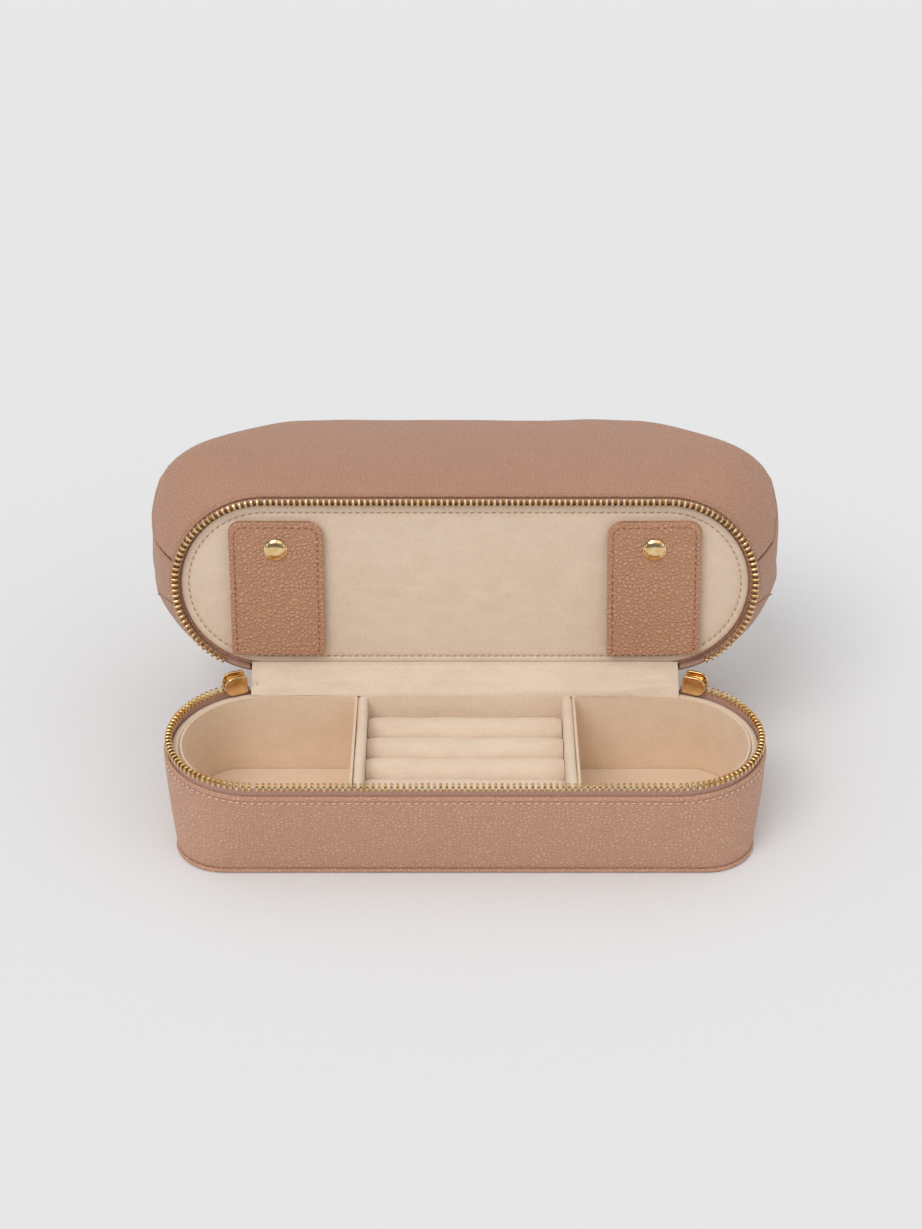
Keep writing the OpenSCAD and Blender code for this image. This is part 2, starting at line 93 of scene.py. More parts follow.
# Stands a plate on its edge, with its thickness along x.
ON_EDGE = Matrix(((0, 0, 1, 0), (1, 0, 0, 0), (0, 1, 0, 0), (0, 0, 0, 1)))


# ---- finishes ----


class Wire:
    """A socket of a material. Sums written on it add Math nodes."""

    def __init__(self, tree, socket=None):
        self.tree, self.socket = tree, socket

    def node(self, kind, settings=None, sockets=None, out=0):
        made = self.tree.nodes.new("ShaderNode" + kind)
        for key, value in (settings or {}).items():
            if key == "stops":
                ramp = made.color_ramp
                while len(ramp.elements) < len(value):
                    ramp.elements.new(0.5)
                for element, (place, colour) in zip(ramp.elements, value):
                    element.position, element.color = place, colour
            else:
                setattr(made, key, value)
        for key, value in (sockets or {}).items():
            if isinstance(value, Wire):
                self.tree.links.new(value.socket, made.inputs[key])
            else:
                made.inputs[key].default_value = value
        return Wire(self.tree, made.outputs[out])

    def maths(self, operation, *values):
        return self.node("Math", {"operation": operation}, dict(enumerate(values)))

    def __add__(self, other):
        return self.maths("ADD", self, other)

    def __sub__(self, other):
        return self.maths("SUBTRACT", self, other)

    def __mul__(self, other):
        return self.maths("MULTIPLY", self, other)

    def __truediv__(self, other):
        return self.maths("DIVIDE", self, other)

    def __mod__(self, other):
        return self.maths("FLOORED_MODULO", self, other)

    def __radd__(self, other):
        return self.maths("ADD", other, self)

    def __rsub__(self, other):
        return self.maths("SUBTRACT", other, self)

    def __rmul__(self, other):
        return self.maths("MULTIPLY", other, self)

    def step(self, low, high):
        return self.node("MapRange", {"interpolation_type": "SMOOTHSTEP"},
                         {"Value": self, "From Min": low, "From Max": high})

    def mix(self, fac, a, b, blend="MIX"):
        return self.node("Mix", {"data_type": "RGBA", "blend_type": blend}, {0: fac, 6: a, 7: b}, 2)

    def noise(self, place, size, detail=2.0, out=0):
        return self.node("TexNoise", None, {"Vector": place, "Scale": 1 / (size * MM), "Detail": detail}, out)

    def stretch(self, place, scale):
        return self.node("VectorMath", {"operation": "MULTIPLY"}, {0: place, 1: scale})


def rgb(red, green, blue):
    """A colour given as it looks, 0 to 255, for a shader."""
    return tuple(c / 255 / 12.92 if c < 11 else ((c / 255 + 0.055) / 1.055) ** 2.4
                 for c in (red, green, blue)) + (1,)


def finish_of(name, **constants):
    material = bpy.data.materials.new(name)
    material.use_nodes = True
    shader = material.node_tree.nodes["Principled BSDF"]
    for key, value in constants.items():
        shader.inputs[key.replace("_", " ")].default_value = value
    return material, Wire(material.node_tree), shader


def plug(wire, shader, socket):
    wire.tree.links.new(wire.socket, shader.inputs[socket])


def relief(wire, height, depth, shader, strength=1.0):
    bump = wire.node("Bump", None, {"Strength": strength, "Distance": depth * MM, "Height": height})
    plug(bump, shader, "Normal")


# A pebbled leather. Its crease colour is painted shade, laid in the grain's hollows between the pebbles.
def pebbled_leather(name, colour, crease, grain, depth, shine=0.48):
    material, wire, shader = finish_of(name, Sheen_Weight=0.12, Sheen_Roughness=0.5)
    place = wire.node("TexCoord", out=3)
    drift = wire.node("VectorMath", {"operation": "SCALE"},
                      {0: wire.noise(place, 3.5, 2, 1), "Scale": 0.35 * MM})
    place = wire.node("VectorMath", {"operation": "ADD"}, {0: place, 1: drift})
    near = wire.node("TexVoronoi", {"feature": "DISTANCE_TO_EDGE"},
                     {"Vector": place, "Scale": 1 / (grain * MM), "Randomness": 0.9})
    small = wire.node("TexVoronoi", {"feature": "DISTANCE_TO_EDGE"},
                      {"Vector": place, "Scale": 1 / (grain * 0.6 * MM), "Randomness": 1.0})
    pebble = near.step(0.0, 0.36)
    lesser = small.step(0.0, 0.4)
    pores = wire.noise(place, 0.25, 3)
    patches = wire.noise(place, 26, 3)
    cloud = wire.noise(place, 7, 2)
    # Painted shade: the darker crease colour fills the hollows between the pebbles.
    base = wire.mix(pebble * 0.7 + lesser * 0.3, crease, colour)
    tone = 0.945 + patches * 0.07 + cloud * 0.04
    base = wire.mix(1.0, base, wire.node("CombineColor", None, {0: tone, 1: tone, 2: tone}), "MULTIPLY")
    plug(base, shader, "Base Color")
    plug(shine + 0.14 * (1 - pebble) + 0.08 * (pores - 0.5), shader, "Roughness")
    relief(wire, pebble * 0.66 + lesser * 0.28 + pores * 0.06, depth, shader)
    return material


def brushed_suede(name, colour, shade, depth=0.12):
    material, wire, shader = finish_of(name, Sheen_Weight=0.3, Sheen_Roughness=0.6, Specular_IOR_Level=0.15)
    place = wire.node("TexCoord", out=3)
    strokes = wire.noise(wire.stretch(place, (1.0, 1.7, 1.7)), 9, 3)
    patches = wire.noise(place, 34, 2)
    nap = wire.noise(place, 0.55, 4)
    fibre = wire.noise(wire.stretch(place, (1.0, 1.0, 2.6)), 0.22, 2)
    lie = (strokes * 0.24 + patches * 0.18 + nap * 0.58).step(0.3, 0.72)
    plug(wire.mix(lie, shade, colour), shader, "Base Color")
    plug(0.86 + 0.12 * nap, shader, "Roughness")
    relief(wire, nap * 0.6 + fibre * 0.4, depth, shader, 0.8)
    return material


def herringbone_tape(name, colour, shade, rib=0.55, column=1.9):
    """Woven tape: its map runs along the tape in millimetres, and across it."""
    material, wire, shader = finish_of(name, Sheen_Weight=0.2, Specular_IOR_Level=0.3)
    run = wire.node("SeparateXYZ", None, {0: wire.node("UVMap", {"uv_map": "weave"})})
    across = Wire(wire.tree, run.socket.node.outputs[1])
    side = (across / column).maths("FLOOR", across / column) % 2
    slope = 1 - 2 * side
    twill = ((run + slope * across * 0.8) / rib) % 1
    thread = (twill - 0.5).maths("ABSOLUTE", twill - 0.5) * 2
    weft = ((run / 0.28) % 1 - 0.5)
    weft = weft.maths("ABSOLUTE", weft) * 2
    ridge = thread.step(0.15, 0.95)
    fuzz = wire.noise(wire.node("TexCoord", out=3), 0.8, 3)
    plug(wire.mix(ridge * 0.75 + fuzz * 0.35, shade, colour), shader, "Base Color")
    plug(0.72 + 0.2 * fuzz, shader, "Roughness")
    relief(wire, ridge * 0.8 + weft * 0.2, 0.16, shader)
    return material


def polished_metal(name, colour, tarnish, rough, wear=0.05):
    material, wire, shader = finish_of(name, Metallic=1.0)
    place = wire.node("TexCoord", out=3)
    smudge = wire.noise(place, 2.2, 3)
    scratch = wire.noise(wire.stretch(place, (1.0, 1.0, 9.0)), 0.4, 2)
    plug(wire.mix(smudge.step(0.35, 0.7), tarnish, colour), shader, "Base Color")
    plug(rough + wear * smudge + 0.03 * scratch, shader, "Roughness")
    relief(wire, scratch, 0.004, shader, 0.5)
    return material


def twisted_thread(name, colour, shade):
    material, wire, shader = finish_of(name, Sheen_Weight=0.2)
    place = wire.node("TexCoord", out=3)
    fibre = wire.noise(wire.stretch(place, (1.0, 2.4, 2.4)), 0.3, 3)
    plug(wire.mix(fibre.step(0.3, 0.7), shade, colour), shader, "Base Color")
    plug(0.55 + 0.2 * fibre, shader, "Roughness")
    relief(wire, fibre, 0.05, shader)
    return material


def pressed_card(name, colour, shade):
    material, wire, shader = finish_of(name)
    place = wire.node("TexCoord", out=3)
    flecks = wire.noise(place, 1.5, 5)
    plug(wire.mix(flecks.step(0.3, 0.7), shade, colour), shader, "Base Color")
    plug(0.8 + 0.15 * flecks, shader, "Roughness")
    relief(wire, flecks, 0.06, shader)
    return material


# Each leather's second colour is painted shade for the hollows of its grain.
TRAY_LEATHER = pebbled_leather("tray_leather", rgb(222, 173, 143), rgb(192, 143, 116), 1.7, 0.5)
POUCH_LEATHER = pebbled_leather("pouch_leather", rgb(198, 150, 122), rgb(177, 129, 103), 1.5, 0.34)
STRAP_LEATHER = pebbled_leather("strap_leather", rgb(214, 162, 128), rgb(185, 134, 103), 1.9, 0.62, 0.46)
SUEDE = brushed_suede("suede", rgb(238, 217, 195), rgb(220, 197, 173))
# The cups' suede is the suede again with painted shade: a little darker and warmer, for the shade inside the cups.
SHADED_CUP_SUEDE = brushed_suede("cup_suede_painted_shade", rgb(238, 214, 187), rgb(221, 194, 166))
LINING_CLOTH = brushed_suede("pouch_lining_cloth", rgb(214, 190, 164), rgb(190, 163, 137), 0.08)
TAPE = herringbone_tape("zip_tape_weave", rgb(222, 180, 162), rgb(182, 138, 121))
TEETH_METAL = polished_metal("teeth_metal", rgb(238, 214, 168), rgb(214, 178, 118), 0.16, 0.1)
GOLD = polished_metal("polished_gold", rgb(243, 216, 168), rgb(231, 192, 130), 0.09)
LEATHER_THREAD = twisted_thread("leather_thread", rgb(238, 206, 186), rgb(214, 176, 154))
STRAP_THREAD = twisted_thread("strap_thread", rgb(150, 96, 76), rgb(110, 66, 52))
SUEDE_THREAD = twisted_thread("suede_thread", rgb(196, 160, 128), rgb(158, 120, 92))
CARD = pressed_card("card", rgb(190, 170, 140), rgb(165, 143, 114))


# ---- making and placing pieces ----


def piece(bm, name, body, finish, nodes=(), lid=False, angle=40, blend=None):
    """A finished piece from a bmesh in millimetres, on its body, or baked into place when blend is given."""
    if lid:
        bmesh.ops.transform(bm, matrix=LID, verts=bm.verts)
    bmesh.ops.scale(bm, vec=(MM, MM, MM), verts=bm.verts)
    mesh = bpy.data.meshes.new(name)
    bm.to_mesh(mesh)
    bm.free()
    mesh.shade_smooth()
    mesh.set_sharp_from_angle(angle=math.radians(angle))
    mesh.materials.append(finish)
    made = bpy.data.objects.new(name, mesh)
    bpy.context.scene.collection.objects.link(made)
    if blend:
        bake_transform(made)
    else:
        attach(made, body)
    if nodes:
        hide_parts(*nodes)
    return made


def joined(parts):
    """One bmesh of several, each with its own place."""
    whole = bmesh.new()
    for part, place in parts:
        bmesh.ops.transform(part, matrix=place, verts=part.verts)
        if place.determinant() < 0:
            bmesh.ops.reverse_faces(part, faces=part.faces)
        held = bpy.data.meshes.new("held")
        part.to_mesh(held)
        part.free()
        whole.from_mesh(held)
        bpy.data.meshes.remove(held)
    return whole


def mirrored(side):
    return Matrix.Diagonal((side, 1, 1, 1))


def point_outwards(bm):
    bmesh.ops.recalc_face_normals(bm, faces=bm.faces)


def soften(bm, geom, radius, segments, kind="EDGES", clamp=False):
    bmesh.ops.bevel(bm, geom=geom, offset=radius, affect=kind, segments=segments, profile=0.5, material=-1,
                    clamp_overlap=clamp)


def close_ends(bm, rings):
    for end in (rings[0], rings[-1]):
        bmesh.ops.contextual_create(bm, geom=end)


def outline(bm, low, high, radii, z, arcs, cuts=(0, 0)):
    """A flat rounded outline's edges. radii and arcs run from the low corner, anticlockwise."""
    before = set(bm.edges)
    ends = [(low[0], low[1]), (high[0], low[1]), (high[0], high[1]), (low[0], high[1])]
    corners = [bm.verts.new((x, y, z)) for x, y in ends]
    bm.faces.new(corners)
    for corner, radius, arc in zip(corners, radii, arcs):
        soften(bm, [corner], radius, arc, "VERTICES")
    edges = [e for e in bm.edges if e not in before]
    bmesh.ops.delete(bm, geom=list({f for e in edges for f in e.link_faces}), context="FACES_ONLY")

    def flat(edge, axis):
        a, b = (v.co for v in edge.verts)
        return abs(a[axis] - b[axis]) < 1e-5 and min(abs(a[axis] - low[axis]), abs(a[axis] - high[axis])) < 1e-4

    for axis, count in ((1, cuts[0]), (0, cuts[1])):
        if count:
            long = [e for e in edges if e.is_valid and flat(e, axis)]
            bmesh.ops.subdivide_edges(bm, edges=long, cuts=count)
            edges = [e for e in bm.edges if e not in before]
    return edges


def ring(bm, half_w, half_d, radius, z, arc=14, cuts=(24, 1)):
    radius = min(radius, half_d * 0.998)
    return outline(bm, (-half_w, -half_d), (half_w, half_d), [radius] * 4, z, [arc] * 4, cuts)


def loft(bm, rings, closed=False):
    for a, b in zip(rings, rings[1:] + (rings[:1] if closed else [])):
        bmesh.ops.bridge_loops(bm, edges=a + b)


def tray_line(z, inset):
    """Half width, half depth and corner radius of the tray at a height."""
    up = min(1, z / (EDGE - 4))
    lean = LEAN * (1 - up)
    radius = FOOT_R + (HALF_D - FOOT_R) * up
    return HALF_W - lean - inset, HALF_D - lean - inset, min(radius, HALF_D - lean) - inset


def wall_line(z, inset):
    """The tray's leather, drawn in a little towards the foot."""
    return tray_line(z, inset + 0.9 * max(0, 1 - z / 30))


def zip_line(z, inset):
    return HALF_W - inset, HALF_D - inset, HALF_D - inset


def band(profile, line=tray_line, arc=14, cuts=(24, 1)):
    """A closed band round the case from (inset, height) points."""
    bm = bmesh.new()
    loft(bm, [ring(bm, *line(z, inset), z, arc, cuts) for inset, z in profile], closed=True)
    point_outwards(bm)
    return bm


def around(half_w, half_d, radius, run):
    """Place and outward direction on a rounded outline, counted from the back's middle, clockwise."""
    flat_w, flat_d, quarter = half_w - radius, half_d - radius, radius * math.pi / 2
    starts = [(0, half_d), (half_w, flat_d), (flat_w, -half_d), (-half_w, -flat_d), (-flat_w, half_d)]
    centres = [(flat_w, flat_d), (flat_w, -flat_d), (-flat_w, -flat_d), (-flat_w, flat_d)]
    lengths = [flat_w, 2 * flat_d, 2 * flat_w, 2 * flat_d, flat_w]
    for n, (start, length) in enumerate(zip(starts, lengths)):
        if run <= length:
            out = Vector([(0, 1), (1, 0), (0, -1), (-1, 0)][n % 4])
            return Vector(start) + Vector((out.y, -out.x)) * run, out
        run -= length
        if run <= quarter and n < 4:
            angle = n * math.pi / 2 + run / radius
            out = Vector((math.sin(angle), math.cos(angle)))
            return Vector(centres[n]) + out * radius, out
        run -= quarter
    return Vector(starts[0]), Vector((0, 1))


def outline_length(half_w, half_d, radius):
    return 4 * (half_w + half_d - 2 * radius) + 2 * math.pi * radius


def facing(place, along, out):
    """A matrix that puts x along a line and z out of the surface."""
    along, out = along.normalized(), out.normalized()
    cross = out.cross(along)
    turn = Matrix((along, cross, out)).transposed().to_4x4()
    return Matrix.Translation(place) @ turn


def sewn(places, length=2.1, thick=0.42):
    """Stitches of thread, one at each place: x along the seam, z out of the surface."""
    bm = bmesh.new()
    slant = Matrix.Rotation(math.radians(7), 4, "Z")
    shape = Matrix.Diagonal((length / 2, thick / 2 * 1.15, thick / 2, 1))
    lying = Matrix.Rotation(math.pi / 2, 4, "Y")
    for place in places:
        shape_here = place @ slant @ shape @ lying
        bmesh.ops.create_uvsphere(bm, u_segments=6, v_segments=5, radius=1, matrix=shape_here)
    return bm


def seam_round(line, z, lift):
    """Stitch places round the case's wall, facing outwards."""
    half_w, half_d, radius = line(z, 0.0)
    total = outline_length(half_w, half_d, radius)
    count = round(total / STITCH_PITCH)
    places = []
    for n in range(count):
        at, out = around(half_w, half_d, radius, total * (n + 0.5) / count)
        outward = Vector((out.x, out.y, 0))
        places.append(facing(Vector((at.x, at.y, z)) + outward * lift, Vector((out.y, -out.x, 0)), outward))
    return places


def run_of(x, y, radius):
    """Length along the zip line from the back's middle."""
    arc = math.pi * radius
    if x > END_X:
        return END_X + radius * math.atan2(x - END_X, y)
    if x < -END_X:
        return 3 * END_X + arc + radius * math.atan2(-x - END_X, -y)
    if y < 0:
        return 2 * END_X + arc - x
    return x if x >= 0 else 4 * END_X + 2 * arc + x


def map_weave(bm, place_of):
    layer = bm.loops.layers.uv.new("weave")
    for face in bm.faces:
        for loop in face.loops:
            loop[layer].uv = place_of(loop.vert.co)


def new_verts(made):
    return [v for v in made["geom"] if isinstance(v, bmesh.types.BMVert)]


def plate(points, rounds, depth, edge=0.0, segments=3, arc=8):
    """A plate in the xy plane from a few corners; rounds gives each corner's radius."""
    bm = bmesh.new()
    corners = [bm.verts.new((x, y, 0)) for x, y in points]
    bm.faces.new(corners)
    for corner, radius in zip(corners, rounds):
        if radius:
            soften(bm, [corner], radius, arc, "VERTICES")
    raised = bmesh.ops.extrude_face_region(bm, geom=bm.faces[:])
    bmesh.ops.translate(bm, vec=(0, 0, depth), verts=new_verts(raised))
    point_outwards(bm)
    if edge:
        rims = [e for e in bm.edges if e.calc_face_angle(0) > 1.0]
        soften(bm, rims, edge, segments, clamp=True)
    return bm


def rod(radius, length, sides=24, edge=0.0):
    """A rod along x, centred."""
    bm = bmesh.new()
    bmesh.ops.create_cone(bm, cap_ends=True, segments=sides, radius1=radius, radius2=radius, depth=length,
                          matrix=Matrix.Rotation(math.pi / 2, 4, "Y"))
    if edge:
        rims = [e for e in bm.edges if e.calc_face_angle(0) > 1.0]
        soften(bm, rims, edge, 2)
    return bm


def slices(bm, axis, places):
    """Cuts across a piece, so that it can bend or wrinkle."""
    normal = [0, 0, 0]
    normal[axis] = 1
    for place in places:
        at = [0, 0, 0]
        at[axis] = place
        bmesh.ops.bisect_plane(bm, geom=bm.verts[:] + bm.edges[:] + bm.faces[:], dist=1e-4, plane_co=at,
                               plane_no=normal)


def steps(low, high, count):
    return [low + (high - low) * n / count for n in range(count + 1)]


def ripple(point, size, seed):
    """Smooth noise from -1 to 1 at a place, with a ripple size along each axis."""
    return noise.noise(Vector((point[0] / size[0] + seed, point[1] / size[1] - seed,
                               point[2] / size[2] + 0.5 * seed)))


# ---- tray ----


def make_sole():
    profile = [(0.9, 0.0), (0.15, 0.2), (-0.35, 0.7), (-0.5, 1.2), (-0.35, 1.75), (0.2, 2.0), (1.4, 2.0),
               (3.0, 1.7)]
    tucked = 0.8
    bm = bmesh.new()

    def line(inset):
        inset += tucked
        return HALF_W - LEAN - inset, HALF_D - LEAN - inset, FOOT_R - inset

    rings = [ring(bm, *line(inset), z, 12, (10, 2)) for inset, z in profile]
    loft(bm, rings)
    close_ends(bm, rings)
    point_outwards(bm)
    piece(bm, "tray_sole", "base", TRAY_LEATHER, ["base_sole"], angle=60)


def make_wall():
    top = EDGE
    profile = [(1.5, 2.1), (0.75, 2.15), (0.3, 2.7), (0.05, 3.8), (-0.1, 7), (-0.28, 14), (-0.3, 24),
               (-0.12, 33), (0.02, top - 4.6), (0.0, top - 3.5), (0.42, top - 3.0), (0.44, top - 2.4), (0.02, top - 1.9),
               (-0.02, top - 1.0), (0.12, top - 0.45), (0.45, top - 0.08), (0.85, top), (1.25, top - 0.1),
               (1.55, top - 0.5), (1.6, top - 1.6), (1.6, 20)]
    bm = band(profile, wall_line, cuts=(44, 2), arc=18)
    for v in bm.verts:
        soft = ripple(v.co, (38, 30, 17), 3.1) * 0.22 + ripple(v.co, (14, 14, 9), 8.4) * 0.07
        if v.co.z < top - 5 and v.co.z > 3:
            out = Vector((v.co.x - math.copysign(min(abs(v.co.x), END_X), v.co.x), v.co.y, 0))
            if out.length > 34:
                v.co += out.normalized() * soft
    piece(bm, "tray_wall", "base", TRAY_LEATHER, ["base_wall"], angle=50)
    stitches = sewn(seam_round(tray_line, top - 2.7, 0.02), 1.9, 0.75)
    piece(stitches, "tray_wall_stitches", "base", LEATHER_THREAD, angle=80)


def make_tape(name, body, lid, low, high, node):
    mid = (low + high) / 2
    profile = [(1.75, low), (1.7, mid), (1.7, high - 0.15), (1.85, high), (2.35, high), (2.5, high - 0.15),
               (2.5, mid), (2.45, low)]
    bm = band(profile, zip_line, arc=20, cuts=(40, 0))
    slices(bm, 0, [-HINGE_HALF - 1, HINGE_HALF + 1])
    gap = [f for f in bm.faces
           if abs(f.calc_center_median().x) < HINGE_HALF + 1 and f.calc_center_median().y > 0]
    bmesh.ops.delete(bm, geom=gap, context="FACES")
    bmesh.ops.holes_fill(bm, edges=[e for e in bm.edges if e.is_boundary], sides=0)
    map_weave(bm, lambda co: (run_of(co.x, co.y, HALF_D - CHAIN_IN), co.z))
    piece(bm, name, body, TAPE, [node], lid=lid)


def tooth_shape(width, length, height, head):
    """One metal tooth: a clamp over the tape with a narrower, rounded head on top."""
    bm = bmesh.new()
    block = Matrix.Translation((0, 0, head / 2)) @ Matrix.Diagonal((length, width, head, 1))
    bmesh.ops.create_cube(bm, size=1, matrix=block)
    top = max(bm.faces, key=lambda f: f.calc_center_median().z)
    grown = bmesh.ops.extrude_face_region(bm, geom=[top])
    verts = new_verts(grown)
    bmesh.ops.delete(bm, geom=[top], context="FACES")
    bmesh.ops.translate(bm, vec=(0, 0, height - head), verts=verts)
    bmesh.ops.scale(bm, vec=(0.8, 0.6, 1), verts=verts)
    point_outwards(bm)
    soften(bm, bm.edges[:], 0.2, 1)
    return bm


def repeated(shape, places):
    """Copies of one small shape in one bmesh."""
    whole = bmesh.new()
    held = bpy.data.meshes.new("held")
    shape.to_mesh(held)
    shape.free()
    for place in places:
        count = len(whole.verts)
        whole.from_mesh(held)
        whole.verts.ensure_lookup_table()
        bmesh.ops.transform(whole, matrix=place, verts=whole.verts[count:])
    bpy.data.meshes.remove(held)
    return whole


def park_angle(radius):
    """How far round the tray's end a slider parks."""
    return math.asin((HINGE_HALF + PARKED - END_X) / radius)


def tooth_places():
    """Where the tray's and the lid's teeth stand, as (x, y, turn)."""
    radius = HALF_D - CHAIN_IN
    first = park_angle(radius) + math.asin(SLIDER_CLEAR / radius)
    round_count = int(radius * (math.pi - first) / ZIP_PITCH)
    front_count = int(2 * END_X / ZIP_PITCH)
    places = [((n - front_count / 2) * 2 * END_X / (front_count + 0.5), -radius, math.pi)
              for n in range(front_count + 1)]
    for side in (-1, 1):
        for n in range(round_count):
            angle = first + (math.pi - first) * n / round_count
            places.append((side * (END_X + radius * math.sin(angle)), radius * math.cos(angle), -side * angle))
    return places


def make_teeth(name, body, lid, node):
    flip = Matrix.Diagonal((1, 1, -1, 1)) if lid else Matrix.Identity(4)
    level = 2.9 if lid else ZIP - 2.9
    places = [Matrix.Translation((x, y, level)) @ Matrix.Rotation(turn, 4, "Z") @ flip
              for x, y, turn in tooth_places()]
    bm = repeated(tooth_shape(3.0, 1.25, 2.7, 1.6), places)
    point_outwards(bm)
    piece(bm, name, body, TEETH_METAL, [node], lid=lid, angle=30)


def make_tray_lining():
    top = EDGE
    profile = [(2.8, top - 1.9), (2.95, top - 1.0), (3.5, top - 0.35), (4.4, top + 0.05), (5.4, top + 0.1),
               (5.95, top - 0.25), (6.1, top - 0.9), (6.1, 24), (6.1, 6), (5.2, 6), (5.2, 24), (5.2, top - 1.9),
               (4.4, top - 2.0)]
    piece(band(profile, cuts=(30, 1)), "tray_lining_band", "base", SUEDE, ["tray_lining"], angle=60)


def cup_ring(bm, z, inset):
    """The left cup's outline at a height, moved in by a distance."""
    half_w, half_d, radius = tray_line(z, 6.3 + inset)
    big, small = min(radius, half_d * 0.998), 1.2
    return outline(bm, (-half_w, -half_d), (-45.8 - inset, half_d), [big, small, small, big], z,
                   [16, 4, 4, 16], (8, 2))


def make_cup(side, name, node):
    floor, rim = 5.7, EDGE + 0.4
    profile = [(0.1, floor), (0.0, 12), (0.0, rim - 0.5), (0.15, rim - 0.12), (0.45, rim), (0.8, rim),
               (1.1, rim - 0.15), (1.2, rim - 0.6), (1.2, 30), (1.2, 18), (1.2, floor + 0.4)]
    bm = bmesh.new()
    rings = [cup_ring(bm, z, inset) for inset, z in profile]
    loft(bm, rings)
    close_ends(bm, rings)
    pad_profile = [(1.5, floor + 0.5), (1.45, floor + 0.7), (1.75, floor + 0.95), (2.4, floor + 1.05)]
    pad = [cup_ring(bm, z, inset) for inset, z in pad_profile]
    loft(bm, pad)
    close_ends(bm, pad)
    point_outwards(bm)
    # The cup lining takes the copy of the suede with painted shade.
    piece(joined([(bm, mirrored(-side))]), name, "base", SHADED_CUP_SUEDE, [node], angle=45)


def make_divider(side, name, node):
    low, high = cad_box(node)
    half = (high.x - low.x) / 2
    tall = high.z - low.z
    top_round = half * 0.96
    bm = plate([(-half, 0), (half, 0), (half, tall), (-half, tall)], [0, 0, top_round, top_round], 2.0, arc=6)
    bmesh.ops.scale(bm, vec=(1, 1, high.y), verts=bm.verts)
    bmesh.ops.translate(bm, vec=(0, 0, -high.y), verts=bm.verts)
    slices(bm, 2, steps(-high.y, high.y, 18)[1:-1])
    slices(bm, 1, steps(4, tall - half - 1, 6))
    bmesh.ops.transform(bm, matrix=Matrix.Rotation(math.pi / 2, 4, "X"), verts=bm.verts)
    for v in bm.verts:
        z = low.z + v.co.z
        reach = tray_line(z, 6.3)[1] / tray_line(high.z, 6.3)[1]
        waist = math.sin(math.pi * min(1, max(0, v.co.z / tall)))
        v.co.x *= 1 - 0.08 * waist + 0.04 * ripple(v.co, (9, 13, 9), 2 + side)
        v.co.x += 0.35 * ripple((0, v.co.y, v.co.z), (9, 26, 22), 5 + side)
        v.co.y *= reach
        v.co.z -= 0.25 * max(0, ripple(v.co, (20, 18, 20), side)) * (v.co.z / tall)
    bmesh.ops.translate(bm, vec=((low.x + high.x) / 2, 0, low.z), verts=bm.verts)
    point_outwards(bm)
    piece(bm, name, "base", SUEDE, [node], angle=60)


def make_roll(number):
    node = f"ring_roll_{number}"
    low, high = cad_box(node)
    half, tall = (high.y - low.y) / 2, high.z - low.z
    top_round = half * 0.98
    bm = plate([(-half, 0), (half, 0), (half, tall), (-half, tall)], [0.8, 0.8, top_round, top_round], 2.0,
               arc=9)
    bmesh.ops.scale(bm, vec=(1, 1, high.x), verts=bm.verts)
    bmesh.ops.translate(bm, vec=(0, 0, -high.x), verts=bm.verts)
    slices(bm, 2, steps(-high.x, high.x, 30)[1:-1])
    slices(bm, 1, (3, 6))
    bmesh.ops.transform(bm, matrix=ON_EDGE, verts=bm.verts)
    for v in bm.verts:
        up = v.co.z / tall
        end = 1 - max(0, (abs(v.co.x) - high.x + 2.2) / 2.2) ** 2 * 0.1
        v.co.y = v.co.y * (end + 0.02 * ripple(v.co, (17, 9, 9), number))
        v.co.z += up * (0.45 * ripple((v.co.x, 0, 0), (21, 9, 9), 3 * number) - 0.35) + (end - 1) * 5 * up
        v.co.z += 0.16 * up * ripple(v.co, (6, 4, 9), 7 + number)
        v.co.y += 0.22 * ripple((v.co.x, 0, 0), (16, 9, 9), 11 + number)
    bmesh.ops.translate(bm, vec=(0, (low.y + high.y) / 2, low.z), verts=bm.verts)
    point_outwards(bm)
    piece(bm, f"padded_ring_roll_{number}", "base", SUEDE, [node], angle=70)


# ---- hinge ----


def smooth_path(points, count):
    """Evenly counted places on a smooth curve through points."""
    places = []
    ends = [points[0]] + points + [points[-1]]
    for n in range(count + 1):
        at = n / count * (len(points) - 1)
        k = min(int(at), len(points) - 2)
        t = at - k
        a, b, c, d = (Vector(p) for p in ends[k:k + 4])
        square = 2 * a - 5 * b + 4 * c - d
        cube = 3 * b - a - 3 * c + d
        places.append(0.5 * ((2 * b) + (c - a) * t + square * t ** 2 + cube * t ** 3))
    return places


def strip(path, half, columns):
    """A strip along a path of (y, z) places, with its width along x."""
    rows = len(path) - 1
    bm = bmesh.new()
    bmesh.ops.create_grid(bm, x_segments=columns, y_segments=rows, size=1)
    for v in bm.verts:
        row = round((v.co.y + 1) / 2 * rows)
        v.co = Vector((v.co.x * half, path[row][0], path[row][1]))
    return bm


def thicken(bm, thick):
    point_outwards(bm)
    bmesh.ops.solidify(bm, geom=bm.faces[:], thickness=thick)
    point_outwards(bm)


